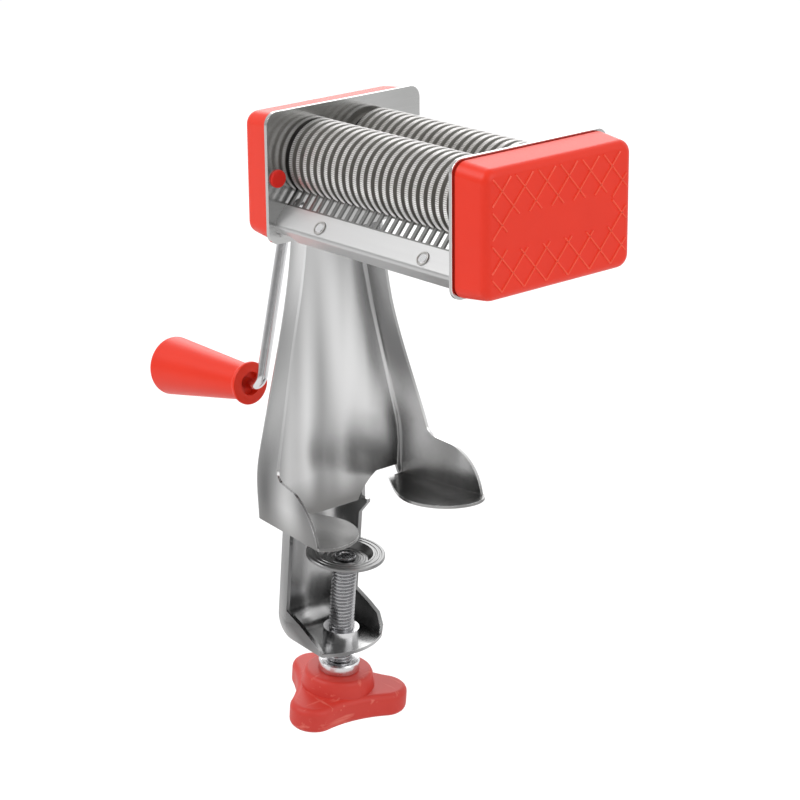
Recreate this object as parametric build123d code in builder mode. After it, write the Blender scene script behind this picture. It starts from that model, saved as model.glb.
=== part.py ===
from build123d import *
import os
from math import acos, cos, pi, radians, sin, tan

# Hand-cranked noodle cutter with a table clamp, in millimetres.
# Z = 0 is the table top, X runs along the two cutting rollers, and X = 0 is midway
# between the side plates. The crank is at -X, the front is -Y.

# ---------------------------------------------------------------- driving sizes
PLATE_GAP = 98.2  # between the inner faces of the side plates
PLATE_T = 1.5
PLATE_W = 75.0
PLATE_H = 50.0
PLATE_R = 4.8
PLATE_Z = 136.0  # middle of the side plates above the table

ROLLER_SPACING = 27.5  # between the two roller axes
ROLLER_RISE = 5.2  # roller axes above the middle of the side plates
DISC_R = 14.7
DISC_T = 1.85
DISC_PITCH = 4.0
CORE_R = 12.3  # bottom of the grooves between the discs
DISC_SIDES = 24  # flats round a disc's rim
CORE_SIDES = 12  # flats round the grooves' bottom
FIRST_DISC = 2.1  # front roller's first disc centre from the left plate
ROLLER_END_GAP = 0.5  # roller end to side plate

SHAFT_R = 4.0
SHAFT_TIP = 1.2  # shaft past its clip
RUN_GAP = 0.05  # radial clearance of a turning shaft in its hole
FIT_GAP = 0.03  # radial clearance of a pressed or riveted piece in its hole
BUSH_R = 6.0
BUSH_FLANGE_R = 7.4
BUSH_FLANGE_T = 1.0
THRUST_GAP = 0.3  # flange to gear or clip
CLIP_T = 0.9
CLIP_R = 6.0
CLIP_GROOVE_R = 3.3
CLIP_MOUTH = 4.0

GEAR_TEETH = 22
GEAR_T = 7.0
GEAR_BACKLASH = 0.3
PRESSURE_ANGLE = 20.0

END_LIP = 0.8  # plate past the cover's mouth, at the short ends
SIDE_LIP = 0.7  # the same above and below
COVER_R = 5.0
COVER_DEPTH = 15.1
COVER_DRAFT = 1.3  # how much each side leans in over the depth
COVER_WALL = 1.6
COVER_EDGE_R = 3.0
EDGE_STEPS = 4  # flats round that edge
RIM_STEP = 0.5  # shadow line where the cover meets the plate
RIM_DEPTH = 0.7
PEG_IN = 4.5  # peg's axis from the plate's short end
PEG_R = 2.4
PEG_HEAD_R = 3.7
PEG_HEAD_T = 1.2
PEG_DEPTH = 7.0  # peg in the cover's boss
BOSS_R = 4.0
BOSS_DEPTH = 9.0
CRANK_HOLE_GAP = 1.0  # shaft to cover
STAND_SLOT_GAP = 0.4  # stand to cover

BAR_T = 1.2
BAR_IN = 8.2  # upper edge of the bar's sloping face from the plate's short end
BAR_TOP_DROP = 15.6  # that edge below the roller axes
BAR_SLOPE = 49.6  # degrees below level
BAR_FACE = 9.8  # sloping face, down the slope
BAR_FLANGE = 10.1  # lower flange, square to the face
BAR_BEND_R = 1.8
TENON_FROM = 2.0  # start and width of the bar's tenons, down the slope
TENON_W = 5.0
TENON_OUT = 0.5  # tenon past the plate
FLANGE_CUT_X = 5.0  # lower flange's corners cut back beside the plates
FLANGE_CUT = 4.5
COMB_T = 1.0
COMB_TOOTH = 1.5
COMB_TIP_GAP = 0.35  # tooth tip to groove bottom
COMB_SLOT_END = 21.0  # closed end of the slots, from the roller axis
COMB_END_GAP = 0.3  # comb to side plate
PIN_SIDES = 12  # flats round rivets, pegs, clips and the crank's rod
RIVET_R = 1.5
RIVET_HEAD_R = 2.8
RIVET_HEAD_T = 0.6
COMB_RIVET_DOWN = 5.2  # rivets down the bar's sloping face
COMB_RIVET_XS = (-25.5, 30.5)

STAND_T = 1.2
STAND_DEPTH = 11.7  # web's outer face from the left plate
STAND_SPLAY = 0.13  # how fast the side walls lean apart
STAND_FOLD_R = 3.0
FOLD_STEPS = 4  # flats round a fold
STAND_TOP_DOWN = 6.0  # stand's top edge below the middle of the plates
STAND_TOP_HALF_W = 17.0
STAND_NECK_HALF_W = 17.8  # at the plates' lower edge
STAND_WAIST_HALF_W = 20.4
STAND_HIP_HALF_W = 27.1
STAND_SKIRT_HALF_W = 34.9
STAND_FOOT_HALF_W = 37.2
STAND_SOLE_HALF_W = 36.9
WAIST_Z = 91.0
HIP_Z = 61.0
SKIRT_Z = 31.0
FOOT_Z = 20.0
TONGUE_DROP = 6.0  # web's tongue below the table top
TONGUE_HALF_W = 14.0
ARCH_H = 4.1  # arches between the tongue and the feet
# Free edge of the side walls, as depth from the web's outer face and height
WALL_EDGE = [(11.2, 78.0), (12.1, 61.0), (14.1, 41.0), (15.8, 24.0)]
HEEL = [(15.8, 24.0), (17.1, 21.0), (19.8, 19.5)]
INSTEP = [(28.3, 18.3), (38.3, 11.8), (43.8, 0.0)]
MOUTH_DEPTH = 51.8  # open side of the stand's form
EAR_W = 8.4
EAR_LOW = 3.2  # ears above the plates' lower edge
EAR_H = 12.6
EAR_RIVET_Y = 23.4
EAR_RIVET_SPACING = 7.0
EAR_RIVET_R = 2.0
EAR_RIVET_HEAD_R = 2.8
EAR_RIVET_HEAD_T = 0.9

SCREW_X = -54.0  # a point on the clamp screw's axis
SCREW_Z = -34.0
SCREW_LEAN = 6.0  # degrees
SCREW_R = 5.0
SCREW_LOW = -52.0  # screw's foot, inside the knob
JAW_T = 1.5
JAW_BACK = 20.5  # screw's axis to the jaw's back
JAW_FLOOR = -27.5  # underside of the jaw's floor
JAW_TOP = 52.0
JAW_BEND_R = 9.0
JAW_HALF_W = 15.8
JAW_FLANGE = 8.1
JAW_FLARE = 0.37
JAW_LIP = 12.0  # floor's round lip in front of the screw
JAW_LIP_R = 28.0
NUT_R = 7.2
NUT_H = 5.0
NUT_SPIGOT_R = 6.2
SPIGOT_PROUD = 0.4  # spigot below the jaw's floor
PAD_R = 15.7
PAD_TOP = 12.0
PAD_T = 1.5
PAD_DISH = 2.5
PAD_FLAT_R = 9.5
PAD_SLOPE = 2.0  # run of the dish's sloping side
PAD_PLAY = 0.3  # pad to screw, along the screw
TIP_R = 3.0
TIP_HEAD_R = 4.2
TIP_HEAD_T = 1.1
COLLAR_R = 8.3
COLLAR_H = 4.5
HUB_TOP = -40.0
HUB_R = 14.5
KNOB_TOP = -46.7
KNOB_H = 10.3
LOBES = 3
LOBE_R = 9.5
LOBE_REACH = 28.1
LOBE_WAIST = 16.5
LOBE_TURN = 49.0
KNOB_CHAMFER = 2.0
HUB_CHAMFER = 1.0

ROD_R = 2.25
ROD_BEND_R = 5.0
ROD_IN_SHAFT = 11.5
SHAFT_PROUD = 1.8  # rear shaft past the left cover
ARM_OFF = 24.9  # arm from the shaft's end
ARM_LENGTH = 104.0
ARM_LEAN = 12.8
PIN_DROOP = 4.75
PIN_LENGTH = 54.0
BULB_R = 3.1
BULB_L = 5.5
BULB_PLAY = 1.0
GRIP_FROM = 6.1
GRIP_L = 54.7
GRIP_LIP_R = 8.75
GRIP_NECK_R = 7.25
GRIP_MOUTH_R = 4.8
GRIP_MOUTH = 3.0
GRIP_BIG_R = 12.0
GRIP_DOME = 5.0
GRIP_SIDES = 20  # flats round the grip
DOME_STEPS = 3
LIP_W = 1.2
NECK_FROM = 3.4  # grip's open end to its neck

# ---------------------------------------------------------------- shared places
IN_X = PLATE_GAP / 2
OUT_X = IN_X + PLATE_T
PLATE_LOW = PLATE_Z - PLATE_H / 2
COVER_W = PLATE_W - 2 * END_LIP
COVER_H = PLATE_H - 2 * SIDE_LIP
PEG_Y = PLATE_W / 2 - PEG_IN
BAR_TOP_Y = PLATE_W / 2 - BAR_IN
ROLLER_Y = ROLLER_SPACING / 2
ROLLER_Z = PLATE_Z + ROLLER_RISE
ROLLER_AXES = [(-ROLLER_Y, ROLLER_Z), (ROLLER_Y, ROLLER_Z)]
CORE_HALF = IN_X - ROLLER_END_GAP
DISC_ROOM = PLATE_GAP - ROLLER_END_GAP - FIRST_DISC - DISC_PITCH / 2 - DISC_T / 2
DISC_COUNT = int(DISC_ROOM / DISC_PITCH) + 1
FRONT_DISCS = [FIRST_DISC - IN_X + DISC_PITCH * i for i in range(DISC_COUNT)]
REAR_DISCS = [x + DISC_PITCH / 2 for x in FRONT_DISCS]
GEAR_X = OUT_X + BUSH_FLANGE_T + THRUST_GAP
RIGHT_CLIP_X = GEAR_X + GEAR_T + THRUST_GAP
LEFT_CLIP_X = -(OUT_X + BUSH_FLANGE_T + THRUST_GAP + CLIP_T)
RIGHT_END = RIGHT_CLIP_X + CLIP_T + SHAFT_TIP
COVER_X = OUT_X + COVER_DEPTH
REAR_SHAFT_END = -(COVER_X + SHAFT_PROUD)
STAND_X = -(OUT_X + STAND_DEPTH)
STAND_TOP = PLATE_Z - STAND_TOP_DOWN

os.makedirs("parts", exist_ok=True)


# ---------------------------------------------------------------- cross bars
# The sloping face's plane: its x runs along X, its y runs up the slope.
SLOPE_UP = Vector(0, cos(radians(BAR_SLOPE)), sin(radians(BAR_SLOPE)))
BAR_TOP = Vector(0, -BAR_TOP_Y, ROLLER_Z - BAR_TOP_DROP)
BAR_PLANE = Plane(origin=BAR_TOP, x_dir=(1, 0, 0), z_dir=Vector(1, 0, 0).cross(SLOPE_UP))
SLOPE_IN = BAR_PLANE.z_dir * -1
COMB_PLANE = BAR_PLANE.offset(-BAR_T)
AXIS_UP = Vector(0, -ROLLER_Y, ROLLER_Z) - BAR_TOP
AXIS_ON_SLOPE = AXIS_UP.dot(SLOPE_UP)


def tenon_sketch(gap):
    """The bars' tenons, or the slots for them, as seen along X."""
    middle = BAR_TOP - SLOPE_UP * (TENON_FROM + TENON_W / 2) + SLOPE_IN * (BAR_T / 2)
    with BuildSketch() as tenons:
        with Locations(Location((middle.Y, middle.Z), BAR_SLOPE)):
            Rectangle(TENON_W + 2 * gap, BAR_T + 2 * gap)
        mirror(about=Plane.YZ)
    return tenons.sketch


TENONS = tenon_sketch(0)
TENON_SLOTS = tenon_sketch(FIT_GAP)

with BuildPart() as front_cross_bar:
    with BuildSketch(Plane.YZ.offset(-IN_X)):
        with BuildLine():
            nose = BAR_TOP - SLOPE_UP * BAR_FACE
            tail = nose + SLOPE_IN * BAR_FLANGE
            FilletPolyline(
                (BAR_TOP.Y, BAR_TOP.Z), (nose.Y, nose.Z), (tail.Y, tail.Z), radius=BAR_BEND_R
            )
            offset(amount=BAR_T, side=Side.LEFT)
        make_face()
    extrude(amount=PLATE_GAP)
    with BuildSketch(BAR_PLANE.offset(-BAR_FLANGE)):
        with Locations((-IN_X, -BAR_FACE), (IN_X, -BAR_FACE)):
            Rectangle(2 * FLANGE_CUT_X, 2 * BAR_FACE)
    extrude(amount=FLANGE_CUT, mode=Mode.SUBTRACT)
    with BuildSketch(BAR_PLANE):
        with Locations(*[(x, -COMB_RIVET_DOWN) for x in COMB_RIVET_XS]):
            RegularPolygon(RIVET_R + FIT_GAP, PIN_SIDES)
    extrude(amount=-BAR_T, mode=Mode.SUBTRACT)
    with BuildSketch(Plane.YZ.offset(-OUT_X - TENON_OUT)):
        add(TENONS)
    extrude(amount=PLATE_T + TENON_OUT)
    with BuildSketch(Plane.YZ.offset(IN_X)):
        add(TENONS)
    extrude(amount=PLATE_T + TENON_OUT)
    split(bisect_by=Plane.XZ)

with BuildPart() as rear_cross_bar:
    add(front_cross_bar.part.mirror(Plane.XZ))


# ---------------------------------------------------------------- combs
def comb_blank(discs):
    """Flat comb under the front bar, a slot for each disc that passes it."""
    tip = AXIS_ON_SLOPE - CORE_R - COMB_TIP_GAP
    slot_end = AXIS_ON_SLOPE - COMB_SLOT_END
    slot_w = DISC_PITCH - COMB_TOOTH
    with BuildPart() as comb:
        with BuildSketch(COMB_PLANE):
            with Locations((0, tip)):
                Rectangle(
                    2 * (IN_X - COMB_END_GAP), tip + BAR_FACE - BAR_BEND_R, align=(Align.CENTER, Align.MAX)
                )
            with Locations(*[(x, slot_end) for x in discs]):
                Rectangle(slot_w, tip, align=(Align.CENTER, Align.MIN), mode=Mode.SUBTRACT)
            with Locations(*[(x, -COMB_RIVET_DOWN) for x in COMB_RIVET_XS]):
                RegularPolygon(RIVET_R + FIT_GAP, PIN_SIDES, mode=Mode.SUBTRACT)
        extrude(amount=-COMB_T)
    return comb.part.solids().sort_by(SortBy.VOLUME)[-1]


with BuildPart() as front_comb:
    add(comb_blank(FRONT_DISCS))

with BuildPart() as rear_comb:
    add(comb_blank(REAR_DISCS).mirror(Plane.XZ))

with BuildPart() as comb_rivets:
    with BuildSketch(BAR_PLANE.offset(RIVET_HEAD_T)):
        with Locations(*[(x, -COMB_RIVET_DOWN) for x in COMB_RIVET_XS]):
            RegularPolygon(RIVET_HEAD_R, PIN_SIDES)
    extrude(amount=-RIVET_HEAD_T)
    with BuildSketch(BAR_PLANE):
        with Locations(*[(x, -COMB_RIVET_DOWN) for x in COMB_RIVET_XS]):
            RegularPolygon(RIVET_R, PIN_SIDES)
    extrude(amount=-BAR_T - COMB_T)
    with BuildSketch(COMB_PLANE.offset(-COMB_T)):
        with Locations(*[(x, -COMB_RIVET_DOWN) for x in COMB_RIVET_XS]):
            RegularPolygon(RIVET_HEAD_R, PIN_SIDES)
    extrude(amount=-RIVET_HEAD_T)
    mirror(about=Plane.XZ)


# ---------------------------------------------------------------- side plates
def plate_blank(x):
    """Rounded side plate from x to x + PLATE_T, with the holes both plates have."""
    with BuildPart() as blank:
        with BuildSketch(Plane.YZ.offset(x)):
            with Locations((0, PLATE_Z)):
                RectangleRounded(PLATE_W, PLATE_H, PLATE_R)
            with Locations(*ROLLER_AXES):
                RegularPolygon(BUSH_R + FIT_GAP, 2 * PIN_SIDES, mode=Mode.SUBTRACT)
            with Locations((-PEG_Y, PLATE_Z), (PEG_Y, PLATE_Z)):
                RegularPolygon(PEG_R + FIT_GAP, PIN_SIDES, mode=Mode.SUBTRACT)
            add(TENON_SLOTS, mode=Mode.SUBTRACT)
        extrude(amount=PLATE_T)
    return blank.part


EAR_RIVET_Z = PLATE_LOW + EAR_LOW + EAR_H / 2
EAR_RIVETS = [
    (side * EAR_RIVET_Y, EAR_RIVET_Z + half * EAR_RIVET_SPACING / 2)
    for side in (-1, 1)
    for half in (-1, 1)
]

with BuildPart() as left_side_plate:
    add(plate_blank(-OUT_X))
    with BuildSketch(Plane.YZ.offset(-OUT_X)):
        with Locations(*EAR_RIVETS):
            RegularPolygon(EAR_RIVET_R + FIT_GAP, PIN_SIDES)
    extrude(amount=PLATE_T, mode=Mode.SUBTRACT)

with BuildPart() as right_side_plate:
    add(plate_blank(IN_X))

with BuildPart() as stand_rivets:
    with BuildSketch(Plane.YZ.offset(-IN_X)):
        with Locations(*EAR_RIVETS):
            RegularPolygon(EAR_RIVET_HEAD_R, PIN_SIDES)
    extrude(amount=EAR_RIVET_HEAD_T)
    with BuildSketch(Plane.YZ.offset(-IN_X)):
        with Locations(*EAR_RIVETS):
            RegularPolygon(EAR_RIVET_R, PIN_SIDES)
    extrude(amount=-PLATE_T - STAND_T)
    with BuildSketch(Plane.YZ.offset(-OUT_X - STAND_T)):
        with Locations(*EAR_RIVETS):
            RegularPolygon(EAR_RIVET_HEAD_R, PIN_SIDES)
    extrude(amount=-EAR_RIVET_HEAD_T)

with BuildPart() as shaft_bushes:
    with BuildSketch(Plane.YZ.offset(IN_X)):
        with Locations(*ROLLER_AXES):
            RegularPolygon(BUSH_R, 2 * PIN_SIDES)
    extrude(amount=PLATE_T)
    with BuildSketch(Plane.YZ.offset(OUT_X)):
        with Locations(*ROLLER_AXES):
            RegularPolygon(BUSH_FLANGE_R, 2 * PIN_SIDES)
    extrude(amount=BUSH_FLANGE_T)
    with BuildSketch(Plane.YZ.offset(IN_X)):
        with Locations(*ROLLER_AXES):
            Circle(SHAFT_R + RUN_GAP)
    extrude(amount=PLATE_T + BUSH_FLANGE_T, mode=Mode.SUBTRACT)
    mirror(about=Plane.YZ)


# ---------------------------------------------------------------- cutting rollers
def disc_at_axis(y):
    """One cutting disc round the roller axis at y, centred on X = 0."""
    with BuildPart() as disc:
        with BuildSketch(Plane.YZ.offset(-DISC_T / 2)):
            with Locations((y, ROLLER_Z)):
                RegularPolygon(DISC_R, DISC_SIDES)
        extrude(amount=DISC_T)
    return disc.part


def roller_blank(y, discs, left_end):
    """Grooved roller in one piece with its shaft, which has a groove for each clip."""
    disc = disc_at_axis(y)
    with BuildPart() as roller:
        with BuildSketch(Plane.YZ.offset(-CORE_HALF)):
            with Locations((y, ROLLER_Z)):
                RegularPolygon(CORE_R, CORE_SIDES)
        extrude(amount=2 * CORE_HALF)
        with Locations(*[(x, 0, 0) for x in discs]):
            add(disc)
        with BuildSketch(Plane.YZ.offset(left_end)):
            with Locations((y, ROLLER_Z)):
                Circle(SHAFT_R)
        extrude(amount=RIGHT_END - left_end)
        for x in (LEFT_CLIP_X, RIGHT_CLIP_X):
            with BuildSketch(Plane.YZ.offset(x)):
                with Locations((y, ROLLER_Z)):
                    Circle(SHAFT_R)
                    Circle(CLIP_GROOVE_R, mode=Mode.SUBTRACT)
            extrude(amount=CLIP_T, mode=Mode.SUBTRACT)
    return roller.part


with BuildPart() as front_roller:
    add(roller_blank(-ROLLER_Y, FRONT_DISCS, LEFT_CLIP_X - SHAFT_TIP))

with BuildPart() as rear_roller:
    add(roller_blank(ROLLER_Y, REAR_DISCS, REAR_SHAFT_END))
    with BuildSketch(Plane.YZ.offset(REAR_SHAFT_END)):
        with Locations((ROLLER_Y, ROLLER_Z)):
            Circle(ROD_R + FIT_GAP)
    extrude(amount=ROD_IN_SHAFT, mode=Mode.SUBTRACT)


def clip_pair(y):
    """Both spring clips of the shaft at y, open at the top."""
    with BuildPart() as clips:
        for x in (LEFT_CLIP_X, RIGHT_CLIP_X):
            with BuildSketch(Plane.YZ.offset(x)):
                with Locations((y, ROLLER_Z)):
                    RegularPolygon(CLIP_R, PIN_SIDES)
                    Circle(CLIP_GROOVE_R + FIT_GAP, mode=Mode.SUBTRACT)
                    Rectangle(CLIP_MOUTH, CLIP_R, align=(Align.CENTER, Align.MIN), mode=Mode.SUBTRACT)
            extrude(amount=CLIP_T)
    return clips.part


with BuildPart() as front_shaft_clips:
    add(clip_pair(-ROLLER_Y))

with BuildPart() as rear_shaft_clips:
    add(clip_pair(ROLLER_Y))


# ---------------------------------------------------------------- gears
def tooth_points(pitch_r, module):
    """Outline of one tooth on the gear's own +x, involute above the base circle."""
    slant = radians(PRESSURE_ANGLE)
    base_r = pitch_r * cos(slant)
    tip_r = pitch_r + 0.9 * module
    root_r = pitch_r - 1.25 * module
    at_pitch = (pi * module / 2 - GEAR_BACKLASH) / 2 / pitch_r + tan(slant) - slant
    flank = [(root_r - module / 4, at_pitch), (base_r, at_pitch)]
    for r in (pitch_r, (pitch_r + tip_r) / 2, tip_r):
        roll = acos(base_r / r)
        flank.append((r, at_pitch - tan(roll) + roll))
    lower = [(r * cos(a), -r * sin(a)) for r, a in flank]
    upper = [(r * cos(a), r * sin(a)) for r, a in reversed(flank)]
    return lower + upper, root_r


def gear_blank(y, turn):
    """Spur gear on the shaft at y, its first tooth turned by this many degrees."""
    module = ROLLER_SPACING / GEAR_TEETH
    points, root_r = tooth_points(ROLLER_SPACING / 2, module)
    with BuildPart() as gear:
        with BuildSketch(Plane.YZ.offset(GEAR_X)):
            with Locations((y, ROLLER_Z)):
                Circle(root_r)
                with PolarLocations(0, GEAR_TEETH, start_angle=turn):
                    Polygon(*points, align=None)
                Circle(SHAFT_R + FIT_GAP, mode=Mode.SUBTRACT)
        extrude(amount=GEAR_T)
    return gear.part


with BuildPart() as front_gear:
    add(gear_blank(-ROLLER_Y, 0))

with BuildPart() as rear_gear:
    add(gear_blank(ROLLER_Y, 180 / GEAR_TEETH))


# ---------------------------------------------------------------- covers
def cover_size(x, inset):
    """Width, height and corner radius of a cover's faces at x from its plate."""
    lean = COVER_DRAFT * x / COVER_DEPTH + inset
    return COVER_W - 2 * lean, COVER_H - 2 * lean, COVER_R - lean


def cover_shell():
    """Right-hand cover: a deep tray, its mouth on the plate and a boss for each peg."""
    rings = [(0, 0)]
    for step in range(EDGE_STEPS + 1):
        turn = pi / 2 * step / EDGE_STEPS
        rings.append((COVER_DEPTH - COVER_EDGE_R * (1 - sin(turn)), COVER_EDGE_R * (1 - cos(turn))))
    with BuildPart() as shell:
        for x, inset in rings:
            with BuildSketch(Plane.YZ.offset(OUT_X + x)):
                with Locations((0, PLATE_Z)):
                    RectangleRounded(*cover_size(x, inset))
        loft(ruled=True)
        for x in (0, COVER_DEPTH - COVER_WALL):
            with BuildSketch(Plane.YZ.offset(OUT_X + x)):
                with Locations((0, PLATE_Z)):
                    RectangleRounded(*cover_size(x, COVER_WALL))
        loft(ruled=True, mode=Mode.SUBTRACT)
        with BuildSketch(Plane.YZ.offset(OUT_X)):
            with Locations((0, PLATE_Z)):
                RectangleRounded(*cover_size(0, -1))
                RectangleRounded(*cover_size(0, RIM_STEP), mode=Mode.SUBTRACT)
        extrude(amount=RIM_DEPTH, mode=Mode.SUBTRACT)
        with BuildSketch(Plane.YZ.offset(OUT_X)):
            with Locations((-PEG_Y, PLATE_Z), (PEG_Y, PLATE_Z)):
                Circle(BOSS_R)
            with Locations((0, PLATE_Z)):
                RectangleRounded(*cover_size(0, RIM_STEP), mode=Mode.INTERSECT)
        extrude(amount=BOSS_DEPTH)
        with BuildSketch(Plane.YZ.offset(OUT_X)):
            with Locations((-PEG_Y, PLATE_Z), (PEG_Y, PLATE_Z)):
                RegularPolygon(PEG_R + FIT_GAP, PIN_SIDES)
        extrude(amount=PEG_DEPTH + FIT_GAP, mode=Mode.SUBTRACT)
    return shell.part


with BuildPart() as right_cover:
    add(cover_shell())

with BuildPart() as left_cover:
    add(right_cover.part.mirror(Plane.YZ))
    with BuildSketch(Plane.YZ.offset(-COVER_X)):
        with Locations((ROLLER_Y, ROLLER_Z)):
            Circle(SHAFT_R + CRANK_HOLE_GAP)
    extrude(amount=2 * COVER_WALL, mode=Mode.SUBTRACT)
    stand_half_w = STAND_NECK_HALF_W + STAND_SPLAY * STAND_DEPTH + STAND_SLOT_GAP
    with BuildSketch(Plane.XY.offset(PLATE_LOW)):
        with Locations((STAND_X - STAND_SLOT_GAP, 0)):
            Rectangle(2 * STAND_DEPTH, 2 * stand_half_w, align=(Align.MIN, Align.CENTER))
    extrude(amount=COVER_WALL + (PLATE_H - COVER_H) / 2 + COVER_DRAFT, mode=Mode.SUBTRACT)

with BuildPart() as right_cover_pegs:
    with BuildSketch(Plane.YZ.offset(IN_X)):
        with Locations((-PEG_Y, PLATE_Z), (PEG_Y, PLATE_Z)):
            RegularPolygon(PEG_HEAD_R, PIN_SIDES)
    extrude(amount=-PEG_HEAD_T)
    with BuildSketch(Plane.YZ.offset(IN_X)):
        with Locations((-PEG_Y, PLATE_Z), (PEG_Y, PLATE_Z)):
            RegularPolygon(PEG_R, PIN_SIDES)
    extrude(amount=PLATE_T + PEG_DEPTH)

with BuildPart() as left_cover_pegs:
    add(right_cover_pegs.part.mirror(Plane.YZ))

# ---------------------------------------------------------------- stand
STAND_EDGE = [
    (STAND_TOP_HALF_W, STAND_TOP),
    (STAND_NECK_HALF_W, PLATE_LOW),
    (STAND_WAIST_HALF_W, WAIST_Z),
    (STAND_HIP_HALF_W, HIP_Z),
    (STAND_SKIRT_HALF_W, SKIRT_Z),
    (STAND_FOOT_HALF_W, FOOT_Z),
    (STAND_SOLE_HALF_W, 0.0),
    (STAND_SOLE_HALF_W, -TONGUE_DROP),
]


def stand_section(x, inset):
    """The stand's outline square to X, this far inside its outer faces."""
    grow = STAND_SPLAY * (x - STAND_X) - inset
    edge = [(half_w + grow, z) for half_w, z in STAND_EDGE]
    with BuildSketch(Plane.YZ.offset(x)) as section:
        with BuildLine():
            Spline(*edge)
            Line(edge[0], (0, edge[0][1]))
            Line((0, edge[-1][1]), edge[-1])
            mirror(about=Plane.YZ)
        make_face()
    return section.sketch


def stand_block(inset, fold_r):
    """The space inside the stand's faces, with its two long edges rounded."""
    with BuildPart() as block:
        for step in range(FOLD_STEPS + 1):
            turn = pi / 2 * step / FOLD_STEPS
            add(stand_section(STAND_X + inset + fold_r * (1 - cos(turn)), inset + fold_r * (1 - sin(turn))))
        add(stand_section(STAND_X + MOUTH_DEPTH, inset))
        loft(ruled=True)
    return block.part


def behind_web(points):
    """(x, z) of points given as depth from the web's outer face and height."""
    return [(STAND_X + depth, z) for depth, z in points]


with BuildPart() as stand:
    add(stand_block(0, STAND_FOLD_R))
    add(stand_block(STAND_T, STAND_FOLD_R - STAND_T), mode=Mode.SUBTRACT)
    with BuildSketch(Plane.XZ):
        with BuildLine():
            wall_edge = behind_web(WALL_EDGE)
            heel = behind_web(HEEL)
            instep = behind_web(INSTEP)
            Polyline(
                instep[-1],
                (STAND_X + STAND_FOLD_R, 0),
                (STAND_X + STAND_FOLD_R, -TONGUE_DROP),
                (STAND_X - 1, -TONGUE_DROP),
                (STAND_X - 1, STAND_TOP),
                (-OUT_X, STAND_TOP),
                (-OUT_X, PLATE_LOW),
                wall_edge[0],
            )
            Spline(*wall_edge)
            ThreePointArc(*heel)
            Line(heel[-1], instep[0])
            ThreePointArc(*instep)
        make_face()
    extrude(amount=STAND_FOOT_HALF_W * 2, both=True, mode=Mode.INTERSECT)
    with BuildSketch(Plane.YZ.offset(STAND_X - 1)):
        with BuildLine():
            Spline((TONGUE_HALF_W, -TONGUE_DROP), (17.4, -1.0), (23.8, ARCH_H))
            Line((23.8, ARCH_H), (34.5, ARCH_H))
            Line((34.5, ARCH_H), (35.6, 0))
            Polyline((35.6, 0), (60, 0), (60, -TONGUE_DROP - 1), (TONGUE_HALF_W, -TONGUE_DROP - 1))
            Line((TONGUE_HALF_W, -TONGUE_DROP - 1), (TONGUE_HALF_W, -TONGUE_DROP))
        make_face()
        mirror(about=Plane.YZ)
    extrude(amount=STAND_FOLD_R + 1, mode=Mode.SUBTRACT)
    with BuildSketch(Plane.XY):
        with BuildLine():
            Spline(
                (-58.9, 28.3),
                (-42.6, 18.5),
                (-34.8, 16.2),
                (-22.3, 19.2),
                (-15.2, 26.9),
                (-13.8, 37.3),
                (-17.8, 42.6),
            )
            Line((-17.8, 42.6), (-58.9, 37.2))
            Line((-58.9, 37.2), (-58.9, 28.3))
        make_face()
        mirror(about=Plane.XZ)
    extrude(amount=STAND_T)
    with BuildSketch(Plane.YZ.offset(-OUT_X)):
        with Locations((0, PLATE_LOW + EAR_LOW)):
            Rectangle(2 * (EAR_RIVET_Y + EAR_W / 2), EAR_H, align=(Align.CENTER, Align.MIN))
            Rectangle(2 * STAND_NECK_HALF_W, EAR_H, align=(Align.CENTER, Align.MIN), mode=Mode.SUBTRACT)
        with Locations(*EAR_RIVETS):
            RegularPolygon(EAR_RIVET_R + FIT_GAP, PIN_SIDES, mode=Mode.SUBTRACT)
    extrude(amount=-STAND_T)

# ---------------------------------------------------------------- lower jaw
SCREW_DIR = Vector(sin(radians(SCREW_LEAN)), 0, cos(radians(SCREW_LEAN)))
SCREW_SIDE = Vector(cos(radians(SCREW_LEAN)), 0, -sin(radians(SCREW_LEAN)))
CLAMP = Plane(origin=(SCREW_X, 0, SCREW_Z), x_dir=SCREW_SIDE, z_dir=SCREW_DIR)
JAW_SIDE = Plane(origin=CLAMP.origin, x_dir=CLAMP.x_dir, z_dir=(0, -1, 0))


def jaw_section(y, inset, past):
    """Side view of the jaw's filled form, its outer faces moved in by inset."""
    back = -JAW_BACK + inset
    low = JAW_FLOOR + inset
    bend = JAW_BEND_R - inset
    with BuildSketch(JAW_SIDE.offset(-y)) as section:
        with BuildLine():
            Line((back, JAW_TOP + past), (back, low + bend))
            RadiusArc((back, low + bend), (back + bend, low), -bend)
            Polyline(
                (back + bend, low),
                (JAW_LIP + 2 + past, low),
                (JAW_LIP + 2 + past, low / 2),
                (past - JAW_FLANGE, low / 2 + past),
                (past - JAW_FLANGE, JAW_TOP + past),
                (back, JAW_TOP + past),
            )
        make_face()
    return section.sketch


def jaw_block(half_w, inset, past):
    """Pan-shaped form of the jaw, from its flat back to its flared flanges."""
    mouth = JAW_FLANGE - inset
    flare = mouth * JAW_FLARE
    with BuildPart() as block:
        add(jaw_section(-half_w - flare, JAW_FLANGE, past))
        add(jaw_section(-half_w, inset, past))
        loft(ruled=True)
        add(jaw_section(-half_w, inset, past))
        add(jaw_section(half_w, inset, past))
        loft(ruled=True)
        add(jaw_section(half_w, inset, past))
        add(jaw_section(half_w + flare, JAW_FLANGE, past))
        loft(ruled=True)
    return block.part


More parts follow.
